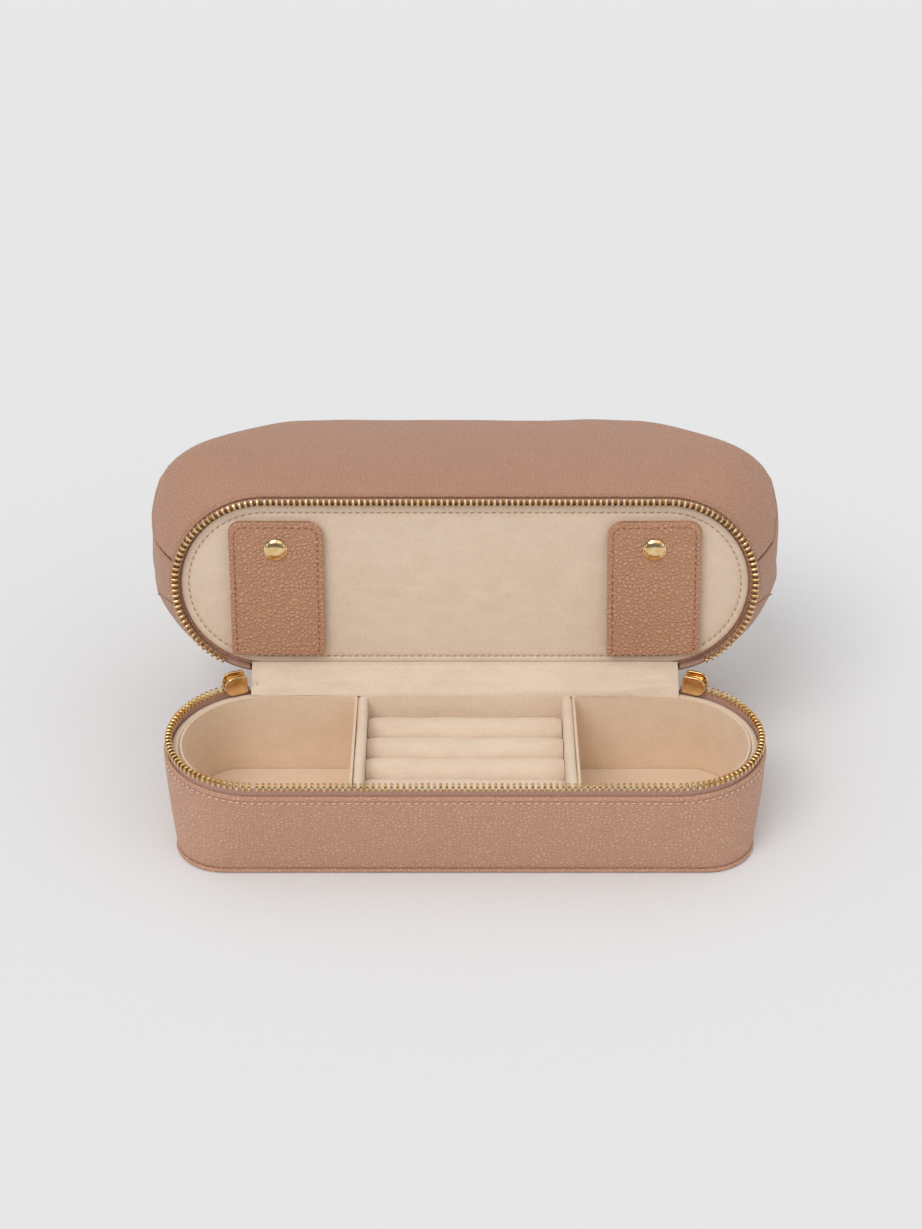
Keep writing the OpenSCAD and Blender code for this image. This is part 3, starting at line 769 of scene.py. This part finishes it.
def make_hinge_strip():
    path = smooth_path([(32.5, 21.2), (33.6, 33), (34.2, 39.5), (34.9, 42.2), (36.9, 44.2), (39.8, 46.3),
                        (42.8, 48.4), (45.0, 49.6), (45.9, 51.3)], 40)
    bend = ((0, 37.5 * MM, 44.6 * MM), (0, 43.6 * MM, 48.9 * MM))
    bm = strip(path, HINGE_HALF, 90)
    for v in bm.verts:
        fold = ripple((v.co.x, v.co.y, v.co.z), (30, 5, 4), 1.7)
        free = max(0, 1 - abs(v.co.z - 45) / 7)
        low = max(0, 1 - abs(v.co.z - 36) / 9) if abs(v.co.x) < 42 else 0
        crease = ripple((v.co.x, v.co.y, v.co.z), (17, 3.2, 2.6), 8.3)
        v.co.z += (1.3 * fold + 0.5 * crease) * free
        hollow = 0.45 * low * (0.5 + ripple(v.co, (24, 9, 6), 4.4))
        v.co.y -= (0.8 * max(0, fold) + 0.4 * crease) * free + hollow
    behind = [f for f in bm.faces if abs(f.calc_center_median().x) > 43 and f.calc_center_median().z < 41.2]
    bmesh.ops.delete(bm, geom=behind, context="FACES")
    thicken(bm, 0.8)
    piece(bm, "hinge_suede", "base", SUEDE, ["hinge_lining_lower", "hinge_lining_upper"], angle=60,
          blend=bend)
    rows = [p for p in path if p[1] > 41.6]
    places = []
    for side in (-1, 1):
        for a, b in zip(rows[::2], rows[2::2]):
            along = Vector((0, b[0] - a[0], b[1] - a[1]))
            out = Vector((0, -along.z, along.y))
            seam = Vector((side * (HINGE_HALF - 2.4), a[0], a[1]))
            places.append(facing(seam + out.normalized() * 0.12, along, out))
    piece(sewn(places, 1.5, 0.4), "hinge_suede_stitches", "base", SUEDE_THREAD, angle=80, blend=bend)


def make_hinge_cover():
    path = smooth_path([(40.55, 40.4), (40.5, 43), (40.45, 45.2), (40.75, 46.4), (41.9, 46.85), (44, 46.75),
                        (46.3, 46.5)], 26)
    bm = strip(path, HINGE_HALF, 40)
    thicken(bm, 1.0)
    piece(bm, "hinge_leather", "base", TRAY_LEATHER, ["hinge_cover_lower", "hinge_cover_upper"],
          angle=60, blend=((0, 40.4 * MM, 45.2 * MM), (0, 42.4 * MM, 46.9 * MM)))


# ---- lid ----


def make_lid_panel():
    bm = bmesh.new()
    profile = [(5.0, 5.5), (4.7, 5.2), (4.75, 4.85), (5.1, 4.62), (6.2, 4.5), (7.2, 4.55), (7.7, 4.78),
               (8.1, 4.8), (8.6, 4.58), (9.8, 4.45), (14, 4.35), (22, 4.3), (32, 4.3)]
    rings = [ring(bm, *zip_line(z, inset), z, 14, (30, 0)) for inset, z in profile]
    loft(bm, rings)
    close_ends(bm, rings)
    for v in bm.verts:
        if v.co.z < 4.7:
            v.co.z += 0.16 * ripple(v.co, (42, 24, 9), 6.2) - 0.05
    point_outwards(bm)
    piece(bm, "lid_suede_panel", "lid", SUEDE, ["lid_suede"], lid=True, angle=60)
    half_w, half_d, radius = zip_line(0, 7.9)
    total = outline_length(half_w, half_d, radius)
    count = round(total / STITCH_PITCH)
    places = []
    for n in range(count):
        at, out = around(half_w, half_d, radius, total * (n + 0.5) / count)
        along = Vector((out.y, -out.x, 0))
        places.append(facing(Vector((at.x, at.y, 4.66)), along, Vector((0, 0, -1))))
    piece(sewn(places, 2.1, 0.42), "lid_suede_stitches", "lid", SUEDE_THREAD, lid=True, angle=80)


def make_lid_band():
    profile = [(2.65, 6.4), (2.8, 6.1), (3.6, 6.0), (4.6, 6.1), (4.8, 6.4), (4.8, 9.0), (2.65, 9.0)]
    piece(band(profile, zip_line), "lid_edge_lining", "lid", TRAY_LEATHER, ["lid_edge_band"], lid=True,
          angle=50)


def make_strap(side, word):
    body = f"{word}_strap"
    half, length = 19.75, 60.5
    centre = side * 79.5
    place = Matrix.Translation((centre, 30.5, 0))
    snap = Matrix.Translation((centre, SNAP_Y, 0))
    place = snap @ Matrix.Rotation(math.radians(-1.0 if side > 0 else 0.3), 4, "Z") @ snap.inverted() @ place
    bm = plate([(-half, -length), (half, -length), (half, 0), (-half, 0)], [5.5, 5.5, 0.4, 0.4], 2.2, 0.7)
    slices(bm, 1, steps(-length + 6, -2, 14))
    slices(bm, 0, [-half + 1.7, -half + 2.9, half - 2.9, half - 1.7])
    for v in bm.verts:
        front = v.co.z < 1.1
        away = (v.co.y + length) / length
        v.co.z += (0.75 * (1 - away) ** 1.6 if front else 0) + 0.12 * ripple(v.co, (16, 13, 9), 4 + side)
        if front and abs(abs(v.co.x) - half + 2.3) < 0.7 and v.co.y > -length + 5:
            v.co.z += 0.06
    bmesh.ops.translate(bm, vec=(0, 0, 0.1), verts=bm.verts)
    bmesh.ops.transform(bm, matrix=place, verts=bm.verts)
    point_outwards(bm)
    piece(bm, f"{word}_strap_leather", body, STRAP_LEATHER, [f"{word}_strap_flap"], lid=True)
    inset, radius = 2.3, 4.0
    pitch = 2.85
    places = []
    down = Vector((0, 0, -1))

    def lift(y):
        return 0.75 * (-y / length) ** 1.6 + 0.08

    for edge in (-1, 1):
        for n in range(19):
            y = -2.2 - n * pitch
            places.append(facing(Vector((edge * (half - inset), y, lift(y))), Vector((0, 1, 0)), down))
        for angle in (25, 65):
            turn = math.radians(angle)
            at = Vector((edge * (half - inset - radius + radius * math.cos(turn)),
                         -length + inset + radius - radius * math.sin(turn), lift(-length)))
            places.append(facing(at, Vector((-edge * math.sin(turn), -math.cos(turn), 0)), down))
    for n in range(10):
        at = Vector((-12.8 + n * pitch, -length + inset, lift(-length)))
        places.append(facing(at, Vector((1, 0, 0)), down))
    stitches = sewn(places, 2.0, 0.42)
    bmesh.ops.transform(stitches, matrix=place, verts=stitches.verts)
    piece(stitches, f"{word}_strap_stitches", body, STRAP_THREAD, lid=True, angle=80)
    cap = bmesh.new()
    profile = [(0.001, -1.75), (1.6, -1.7), (2.9, -1.5), (3.8, -1.15), (4.35, -0.72), (4.55, -0.5),
               (4.9, -0.42), (5.0, -0.2), (4.85, 0.0), (0.001, 0.0)]
    line = [cap.verts.new((x, 0, z)) for x, z in profile]
    edges = [cap.edges.new(pair) for pair in zip(line, line[1:])]
    bmesh.ops.spin(cap, geom=line + edges, cent=(0, 0, 0), axis=(0, 0, 1), steps=48, angle=math.tau,
                   use_merge=True)
    bmesh.ops.remove_doubles(cap, verts=cap.verts, dist=0.01)
    point_outwards(cap)
    bmesh.ops.translate(cap, vec=(centre, SNAP_Y, 0.62), verts=cap.verts)
    piece(cap, f"{word}_snap_dome", body, GOLD, [f"{word}_snap_cap"], lid=True, angle=35)


# ---- pouch ----


def swell(z):
    return max(0, (WIDEST - z) / (WIDEST - RIM)) ** 2.2


def pouch_line(z):
    """Half width, half depth and corner radius of the pouch at a height over the zip line."""
    over = max(0, z - WIDEST)
    half_w = HALF_W + 12 * (1 - swell(z)) if z < WIDEST else DOME_X + math.sqrt(max(0, DOME_R ** 2 - over ** 2))
    brow = 0 if z < POUCH_TOP - 6 else 6 - math.sqrt(max(0, 36 - (z - POUCH_TOP + 6) ** 2))
    half_d = HALF_D + 3.5 * (1 - swell(z)) - 6.5 * (over / DOME_R) ** 2 - brow
    radius = HALF_D - (HALF_D - 27) * min(1, (z - RIM) / WIDEST) ** 1.4 - 8 * over / DOME_R
    return half_w, half_d, min(radius, half_d * 0.998)


def seam_y(z):
    """Half width of the gusset at a height."""
    foot, crease, shoulder = GUSSET
    if z < CREASE_Z:
        return foot + (crease - foot) * (z - RIM) / (CREASE_Z - RIM)
    return min(shoulder, crease + (shoulder - crease) * (z - CREASE_Z) / (SHOULDER_Z - CREASE_Z))


def pouch_soft(co):
    """How far the leather has moved from its cut shape: soft hollows and folds at the ends."""
    x, y, z = co
    up = max(0, min(1, (z - RIM) / 14))
    move = 0.55 * ripple(co, (46, 30, 34), 2.3) + 0.2 * ripple(co, (17, 15, 13), 9.1)
    end = max(0, min(1, (abs(x) - 84) / 40)) * max(0, 1 - abs(z - 30) / 30)
    move += end * (0.75 * ripple(co, (9, 12, 17), 5.5) + 0.4 * ripple(co, (4.5, 8, 13), 7.7))
    move += end * 0.8 * ripple(co, (30, 7, 60), 1.2)
    return move * up


def slumped(co):
    """Where a place on the pouch settles: softer shoulders, a dip on top, ends drawn in at the back."""
    co = co.copy()
    side = (abs(co.x) - DOME_X) / DOME_R
    over = (co.z - WIDEST) / DOME_R
    if side > -0.3 and over > 0.1:
        sideways = math.sin(math.pi * min(1, max(0, (side + 0.3) / 1.3)))
        shoulder = sideways * math.sin(math.pi * min(1, over * 0.9))
        co.z -= 5.0 * shoulder
        co.x -= math.copysign(4.4 * shoulder, co.x)
    back = max(0, co.y / HALF_D) ** 2 * max(0, min(1, (abs(co.x) - 80) / 45))
    co.x -= math.copysign(6 * back * max(0, min(1, (co.z - RIM) / 25)), co.x)
    if co.z > 60:
        co.z -= 1.5 * math.exp(-((co.x - 36) / 20) ** 2) * ((co.z - 60) / 50) ** 2
    return co


def make_shell():
    bm = bmesh.new()
    levels = [RIM, 6.3, 8, 11, 15, 19.5, 24, 28.5, 33, 38, 43, WIDEST]
    levels += [WIDEST + DOME_R * math.sin(math.radians(a)) for a in
               (5, 10, 13.05, 18, 23, 28, 33, 38, 43, 48, 53, 58, 62, 66, 70, 74, 78, 82, 86)] + [POUCH_TOP]
    rings = [ring(bm, *pouch_line(z), z, 10, (44, 8)) for z in levels]
    loft(bm, rings)
    bmesh.ops.contextual_create(bm, geom=rings[-1])
    point_outwards(bm)
    across = (-28, -24, -20, -15, -11, -2, 2, 11, 15, 20, 24, 28)
    for axis, places in ((0, steps(-DOME_X, DOME_X, 20)[1:-1]), (1, across)):
        for at in places:
            top = [f for f in bm.faces if f.calc_center_median().z > POUCH_TOP - 0.01]
            top += [e for f in top for e in f.edges] + [v for f in top for v in f.verts]
            normal, co = [0, 0, 0], [0, 0, 0]
            normal[axis], co[axis] = 1, at
            bmesh.ops.bisect_plane(bm, geom=list(set(top)), dist=1e-4, plane_co=co, plane_no=normal)

    def cut(low, high, co, normal):
        faces = [f for f in bm.faces if low < f.calc_center_median().z < high]
        geom = set(faces) | {e for f in faces for e in f.edges} | {v for f in faces for v in f.verts}
        bmesh.ops.bisect_plane(bm, geom=list(geom), dist=1e-4, plane_co=co, plane_no=normal)

    foot, crease, shoulder = GUSSET
    rise = SHOULDER_Z - CREASE_Z
    for side in (-1, 1):
        cut(0, CREASE_Z, (0, side * foot, RIM), (0, CREASE_Z - RIM, side * (foot - crease)))
        cut(CREASE_Z, SHOULDER_Z, (0, side * crease, CREASE_Z), (0, rise, side * (crease - shoulder)))
        cut(SHOULDER_Z, math.inf, (0, side * shoulder, SHOULDER_Z), (0, 1, 0))
        cut(WIDEST, math.inf, (0, side * SLOT, SHOULDER_Z), (0, 1, 0))
    bm.normal_update()
    moves = {v: v.normal * pouch_soft(v.co) for v in bm.verts}
    for v, move in moves.items():
        v.co = slumped(v.co + move)
    return bm


def turned_edge(bm, width=1.3, deep=0.75):
    """Rolls a panel's edges in, so that it meets the next one in a groove."""
    bmesh.ops.inset_region(bm, faces=bm.faces[:], thickness=width, use_boundary=True, use_even_offset=True)
    bm.normal_update()
    rims = {v for e in bm.edges if e.is_boundary for v in e.verts}
    for v, move in {v: v.normal * deep for v in rims}.items():
        v.co -= move


def make_pouch_panel(shell, name, node, wanted):
    bm = shell.copy()
    spare = [f for f in bm.faces if not wanted(f.calc_center_median())]
    bmesh.ops.delete(bm, geom=spare, context="FACES")
    turned_edge(bm)
    made = piece(bm, name, "lid", POUCH_LEATHER, [node], lid=True, angle=75)
    wall = made.modifiers.new("leather", "SOLIDIFY")
    wall.thickness, wall.offset = 1.2 * MM, -1
    finer = made.modifiers.new("smooth", "SUBSURF")
    finer.levels = finer.render_levels = 1


def make_pouch_lining(shell):
    bm = shell.copy()
    centres = {f: f.calc_center_median() for f in bm.faces}
    spare = [f for f, c in centres.items() if c.z < 15 or (abs(c.y) < SLOT and c.z > WIDEST)]
    bmesh.ops.delete(bm, geom=spare, context="FACES")
    bm.normal_update()
    for v, move in {v: v.normal * 2.3 for v in bm.verts}.items():
        v.co -= move
    made = piece(bm, "pouch_lining_cloth", "lid", LINING_CLOTH, ["pouch_lining"], lid=True,
                 angle=75)
    wall = made.modifiers.new("cloth", "SOLIDIFY")
    wall.thickness, wall.offset = 0.6 * MM, -1


def make_pouch():
    shell = make_shell()

    def gusset(c):
        return abs(c.y) < seam_y(c.z)

    make_pouch_lining(shell)
    for name, node, wanted in (
            ("pouch_front_panel", "pouch_front", lambda c: c.y < 0 and not gusset(c)),
            ("pouch_back_panel", "pouch_back", lambda c: c.y > 0 and not gusset(c)),
            ("pouch_left_gusset", "pouch_left_side", lambda c: gusset(c) and c.z < WIDEST and c.x < 0),
            ("pouch_right_gusset", "pouch_right_side", lambda c: gusset(c) and c.z < WIDEST and c.x > 0),
            ("pouch_top_gusset_front", "pouch_top_front", lambda c: gusset(c) and c.z > WIDEST and c.y < -SLOT),
            ("pouch_top_gusset_back", "pouch_top_back", lambda c: gusset(c) and c.z > WIDEST and c.y > SLOT)):
        make_pouch_panel(shell, name, node, wanted)
    shell.free()


def make_rim_bead():
    centre, radius = (0.75, 5.55), 0.85
    profile = [(centre[0] - radius * math.cos(a), centre[1] + radius * math.sin(a)) for a in
               [math.tau * n / 8 for n in range(8)]]
    bm = band(profile, zip_line, arc=20, cuts=(40, 0))
    piece(bm, "pouch_rim_bead", "lid", POUCH_LEATHER, lid=True, angle=80)


def zip_over_top(run, lift):
    """Place and outward direction on the pouch's zip, counted from the middle of the top."""
    if abs(run) < DOME_X:
        return Vector((run, 0, POUCH_TOP + lift)), Vector((0, 0, 1))
    side = math.copysign(1, run)
    angle = (abs(run) - DOME_X) / DOME_R
    out = Vector((side * math.sin(angle), 0, math.cos(angle)))
    return Vector((side * DOME_X, 0, WIDEST)) + out * (DOME_R + lift), out


def make_pouch_zip():
    reach = DOME_X + DOME_R * math.pi / 2 - 1
    half = 6.3
    bm = bmesh.new()
    bmesh.ops.create_grid(bm, x_segments=120, y_segments=6, size=1)
    map_weave(bm, lambda co: (co.x * reach, co.y * half))
    for v in bm.verts:
        at, out = zip_over_top(v.co.x * reach, -0.9)
        v.co = slumped(at) + Vector((0, v.co.y * half, 0))
    thicken(bm, 0.6)
    piece(bm, "pouch_zip_weave", "lid", TAPE, ["pouch_zip_tape"], lid=True, angle=60)
    places = []
    flat_count = int(2 * DOME_X / ZIP_PITCH)
    runs = [(n - flat_count / 2) * 2 * DOME_X / (flat_count + 0.5) for n in range(flat_count + 1)]
    round_count = int(DOME_R * math.pi / 2 / ZIP_PITCH) - 1
    for side in (-1, 1):
        runs += [side * (DOME_X + DOME_R * math.pi / 2 * n / (round_count + 1)) for n in range(1, round_count)]
    for run in runs:
        at, out = zip_over_top(run, -0.45)
        places.append(facing(slumped(at), Vector((out.z, 0, -out.x)), out))
    bm = repeated(tooth_shape(5.6, 1.25, 1.35, 0.8), places)
    point_outwards(bm)
    piece(bm, "pouch_zip_chain", "lid", TEETH_METAL, ["pouch_zip_teeth"], lid=True, angle=30)


# ---- sliders and pulls ----


def park(side):
    radius = HALF_D - CHAIN_IN
    angle = park_angle(radius)
    return (Matrix.Translation((0, 0, ZIP)) @ mirrored(side) @ Matrix.Translation((END_X, 0, 0))
            @ Matrix.Rotation(math.pi / 2 - angle, 4, "Z") @ Matrix.Translation((radius, 0, 0))
            @ Matrix.Rotation(-math.pi / 2, 4, "Z"))


def bell():
    """A slider's plate, round at the end that leads."""
    return plate([(-5, -4.3), (5, -4.5), (5, 4.5), (-5, 4.3)], [1.4, 4.3, 4.3, 1.4], 1.2, 0.35, arc=12)


def lugs():
    """Two lugs and the pin between them, standing on z = 0 with the pin along x."""
    parts = [(rod(0.6, 4.2, 20), Matrix.Translation((0, 0, 1.6)))]
    for x in (-2.55, 1.65):
        lug = plate([(-1.1, -0.1), (1.1, -0.1), (1.1, 2.7), (-1.1, 2.7)], [0, 0, 1.05, 1.05], 0.9, 0.15)
        parts.append((lug, Matrix.Translation((x, 0, 0)) @ ON_EDGE))
    return joined(parts)


def make_slider(side, word):
    stand = Matrix.Rotation(math.pi / 2, 4, "X")
    box = plate([(-3, -2.1), (3, -2.1), (3, 1.9), (-3, 1.9)], [0.4] * 4, 1.9, 0.2)
    parts = [(bell(), Matrix.Translation((0, 3.0, 0)) @ stand),
             (bell(), Matrix.Translation((0, -1.95, 0)) @ stand),
             (box, Matrix.Translation((0, 0, 0.15))),
             (lugs(), Matrix.Translation((0, 3.0, 0)) @ Matrix.Rotation(-math.pi / 2, 4, "X"))]
    bm = joined([(part, park(side) @ place) for part, place in parts])
    point_outwards(bm)
    piece(bm, f"{word}_slider_metal", f"{word}_zip_slider", GOLD, [f"{word}_slider"], angle=30)


def pull_metal():
    """A barrel on the pin and a flat tab that hangs from it along -z."""
    tab = plate([(-3.2, -30), (3.2, -30), (3.2, -8.6), (-3.2, -8.6)], [3.1] * 4, 1.0, 0.3)
    waist = plate([(-1.3, -12), (1.3, -12), (1.3, -0.9), (-1.3, -0.9)], [0] * 4, 0.95, 0.15)
    stand = Matrix.Translation((0, 0.5, 0)) @ Matrix.Rotation(math.pi / 2, 4, "X")
    barrel = bmesh.new()
    profile = ((-1.5, 0.66), (-1.5, 1.2), (-1.4, 1.3), (1.4, 1.3), (1.5, 1.2), (1.5, 0.66))
    line = [barrel.verts.new((x, 0, z)) for x, z in profile]
    edges = [barrel.edges.new(pair) for pair in zip(line, line[1:] + line[:1])]
    bmesh.ops.spin(barrel, geom=line + edges, cent=(0, 0, 0), axis=(1, 0, 0), steps=24, angle=math.tau,
                   use_merge=True)
    point_outwards(barrel)
    return joined([(tab, stand), (waist, stand), (barrel, Matrix.Identity(4))])


def make_pull(side, word):
    bm = joined([(pull_metal(), park(side) @ Matrix.Translation((0, 4.6, 0)))])
    point_outwards(bm)
    piece(bm, f"{word}_pull_metal", f"{word}_zip_pull", GOLD, [f"{word}_pull"], angle=30)


def make_pouch_slider():
    x, z = DOME_X - 10, 111.25
    top = plate([(-5, -4.1), (1.5, -4.1), (5, -4.1), (5, 4.1), (1.5, 4.1), (-5, 4.1)],
                [0.8, 0.3, 3.9, 3.9, 0.3, 0.8], 1.2, 0.35)
    parts = [(top, Matrix.Identity(4)),
             (lugs(), Matrix.Translation((0, 0, 1.2)) @ Matrix.Rotation(math.pi / 2, 4, "Z"))]
    for y in (-4.1, 3.1):
        side = plate([(-5, 0), (1, 0), (1, 1.0), (-5, 1.0)], [0.3] * 4, 1.3, 0.2)
        parts.append((side, Matrix.Translation((0, y, -1.2))))
    bm = joined([(part, Matrix.Translation((x, 0, z)) @ place) for part, place in parts])
    point_outwards(bm)
    piece(bm, "pouch_slider_metal", "pouch_zip_slider", GOLD, ["pouch_slider"], lid=True, angle=30)
    place = (Matrix.Translation((x, 0, z + 2.8)) @ Matrix.Rotation(-math.pi / 2, 4, "Z")
             @ Matrix.Rotation(math.pi / 2, 4, "X"))
    bm = joined([(pull_metal(), place)])
    point_outwards(bm)
    piece(bm, "pouch_pull_metal", "pouch_zip_pull", GOLD, ["pouch_pull"], lid=True, angle=30)


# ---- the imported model's own pieces that stay ----


def finish_inner_pieces():
    finishes = {"wall_board": CARD, "floor_board": CARD, "lid_board": CARD, "tray_floor": SUEDE,
                "ring_bed": SUEDE, "pouch_floor": LINING_CLOTH}
    for word in ("left", "right"):
        finishes |= {f"{word}_strap_backing": STRAP_LEATHER, f"{word}_snap_socket": GOLD, f"{word}_snap_stud": GOLD}
    for node, finish in finishes.items():
        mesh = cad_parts[node].data
        mesh.materials.clear()
        mesh.materials.append(finish)


# ---- floor, light and camera ----


def make_stage():
    bm = bmesh.new()
    bmesh.ops.create_grid(bm, x_segments=1, y_segments=1, size=6)
    mesh = bpy.data.meshes.new("floor")
    bm.to_mesh(mesh)
    bm.free()
    material, wire, shader = finish_of("floor_paper", Roughness=0.95, Specular_IOR_Level=0.0)
    grain = wire.noise(wire.node("TexCoord", out=3), 4.0, 3)
    plug(wire.mix(grain, rgb(232, 232, 233), rgb(235, 235, 235)), shader, "Base Color")
    mesh.materials.append(material)
    floor = bpy.data.objects.new("floor", mesh)
    bpy.context.scene.collection.objects.link(floor)
    world = bpy.data.worlds.new("studio")
    bpy.context.scene.world = world
    world.use_nodes = True
    sky = Wire(world.node_tree)
    ray = sky.node("SeparateXYZ", None, {0: sky.node("TexCoord")})
    height = Wire(sky.tree, ray.socket.node.outputs[2])
    soft = 0.29 + 0.49 * height.step(-0.15, 0.75)
    sides = 0.75 * ray.maths("ABSOLUTE", ray).step(0.76, 0.86) * height.step(0.0, 0.2)
    boxes = 0.2 + 0.95 * height.step(0.5, 0.66) + sides
    mirrored_ray = sky.node("LightPath", out=3)
    glow = soft + (boxes - soft) * mirrored_ray
    light = sky.node("CombineColor", None, {0: glow, 1: glow, 2: glow})
    world.node_tree.links.new(light.socket, world.node_tree.nodes["Background"].inputs["Color"])
    suns = (("key", (-0.42, -0.62, 0.9), 34, 1.0), ("fill", (0.9, -0.7, 0.7), 60, 0.12))
    for name, place, spread, power in suns:
        lamp = bpy.data.lights.new(name, "SUN")
        lamp.angle, lamp.energy = math.radians(spread), power
        stand = bpy.data.objects.new(name, lamp)
        stand.rotation_euler = (-Vector(place)).to_track_quat("-Z", "Y").to_euler()
        bpy.context.scene.collection.objects.link(stand)


def make_camera():
    lens = bpy.data.cameras.new("camera")
    lens.sensor_fit = "VERTICAL"
    lens.sensor_height = 36
    lens.lens = 67.65
    camera = bpy.data.objects.new("camera", lens)
    camera.location = (-0.0017, -0.7986, 0.5763)
    camera.rotation_euler = (math.radians(90 - 30.7), 0, 0)
    bpy.context.scene.collection.objects.link(camera)
    bpy.context.scene.camera = camera
    bpy.context.scene.view_settings.view_transform = "Standard"


make_camera()
make_stage()
make_sole()
make_wall()
make_tape("tray_tape_weave", "base", False, ZIP - 7.5, ZIP - 2.95, "base_zip_tape")
make_teeth("tray_teeth", "base", False, "base_zip_teeth")
make_tray_lining()
make_cup(-1, "left_cup_lining", "left_cup")
make_cup(1, "right_cup_lining", "right_cup")
make_divider(-1, "left_padded_divider", "left_divider")
make_divider(1, "right_padded_divider", "right_divider")
for number in (1, 2, 3, 4):
    make_roll(number)
make_hinge_strip()
make_hinge_cover()
make_tape("lid_tape_weave", "lid", True, 2.95, 9.0, "lid_zip_tape")
make_teeth("lid_teeth", "lid", True, "lid_zip_teeth")
make_lid_panel()
make_lid_band()
make_strap(-1, "left")
make_strap(1, "right")
make_pouch()
make_rim_bead()
make_pouch_zip()
for side, word in ((-1, "left"), (1, "right")):
    make_slider(side, word)
    make_pull(side, word)
make_pouch_slider()
finish_inner_pieces()
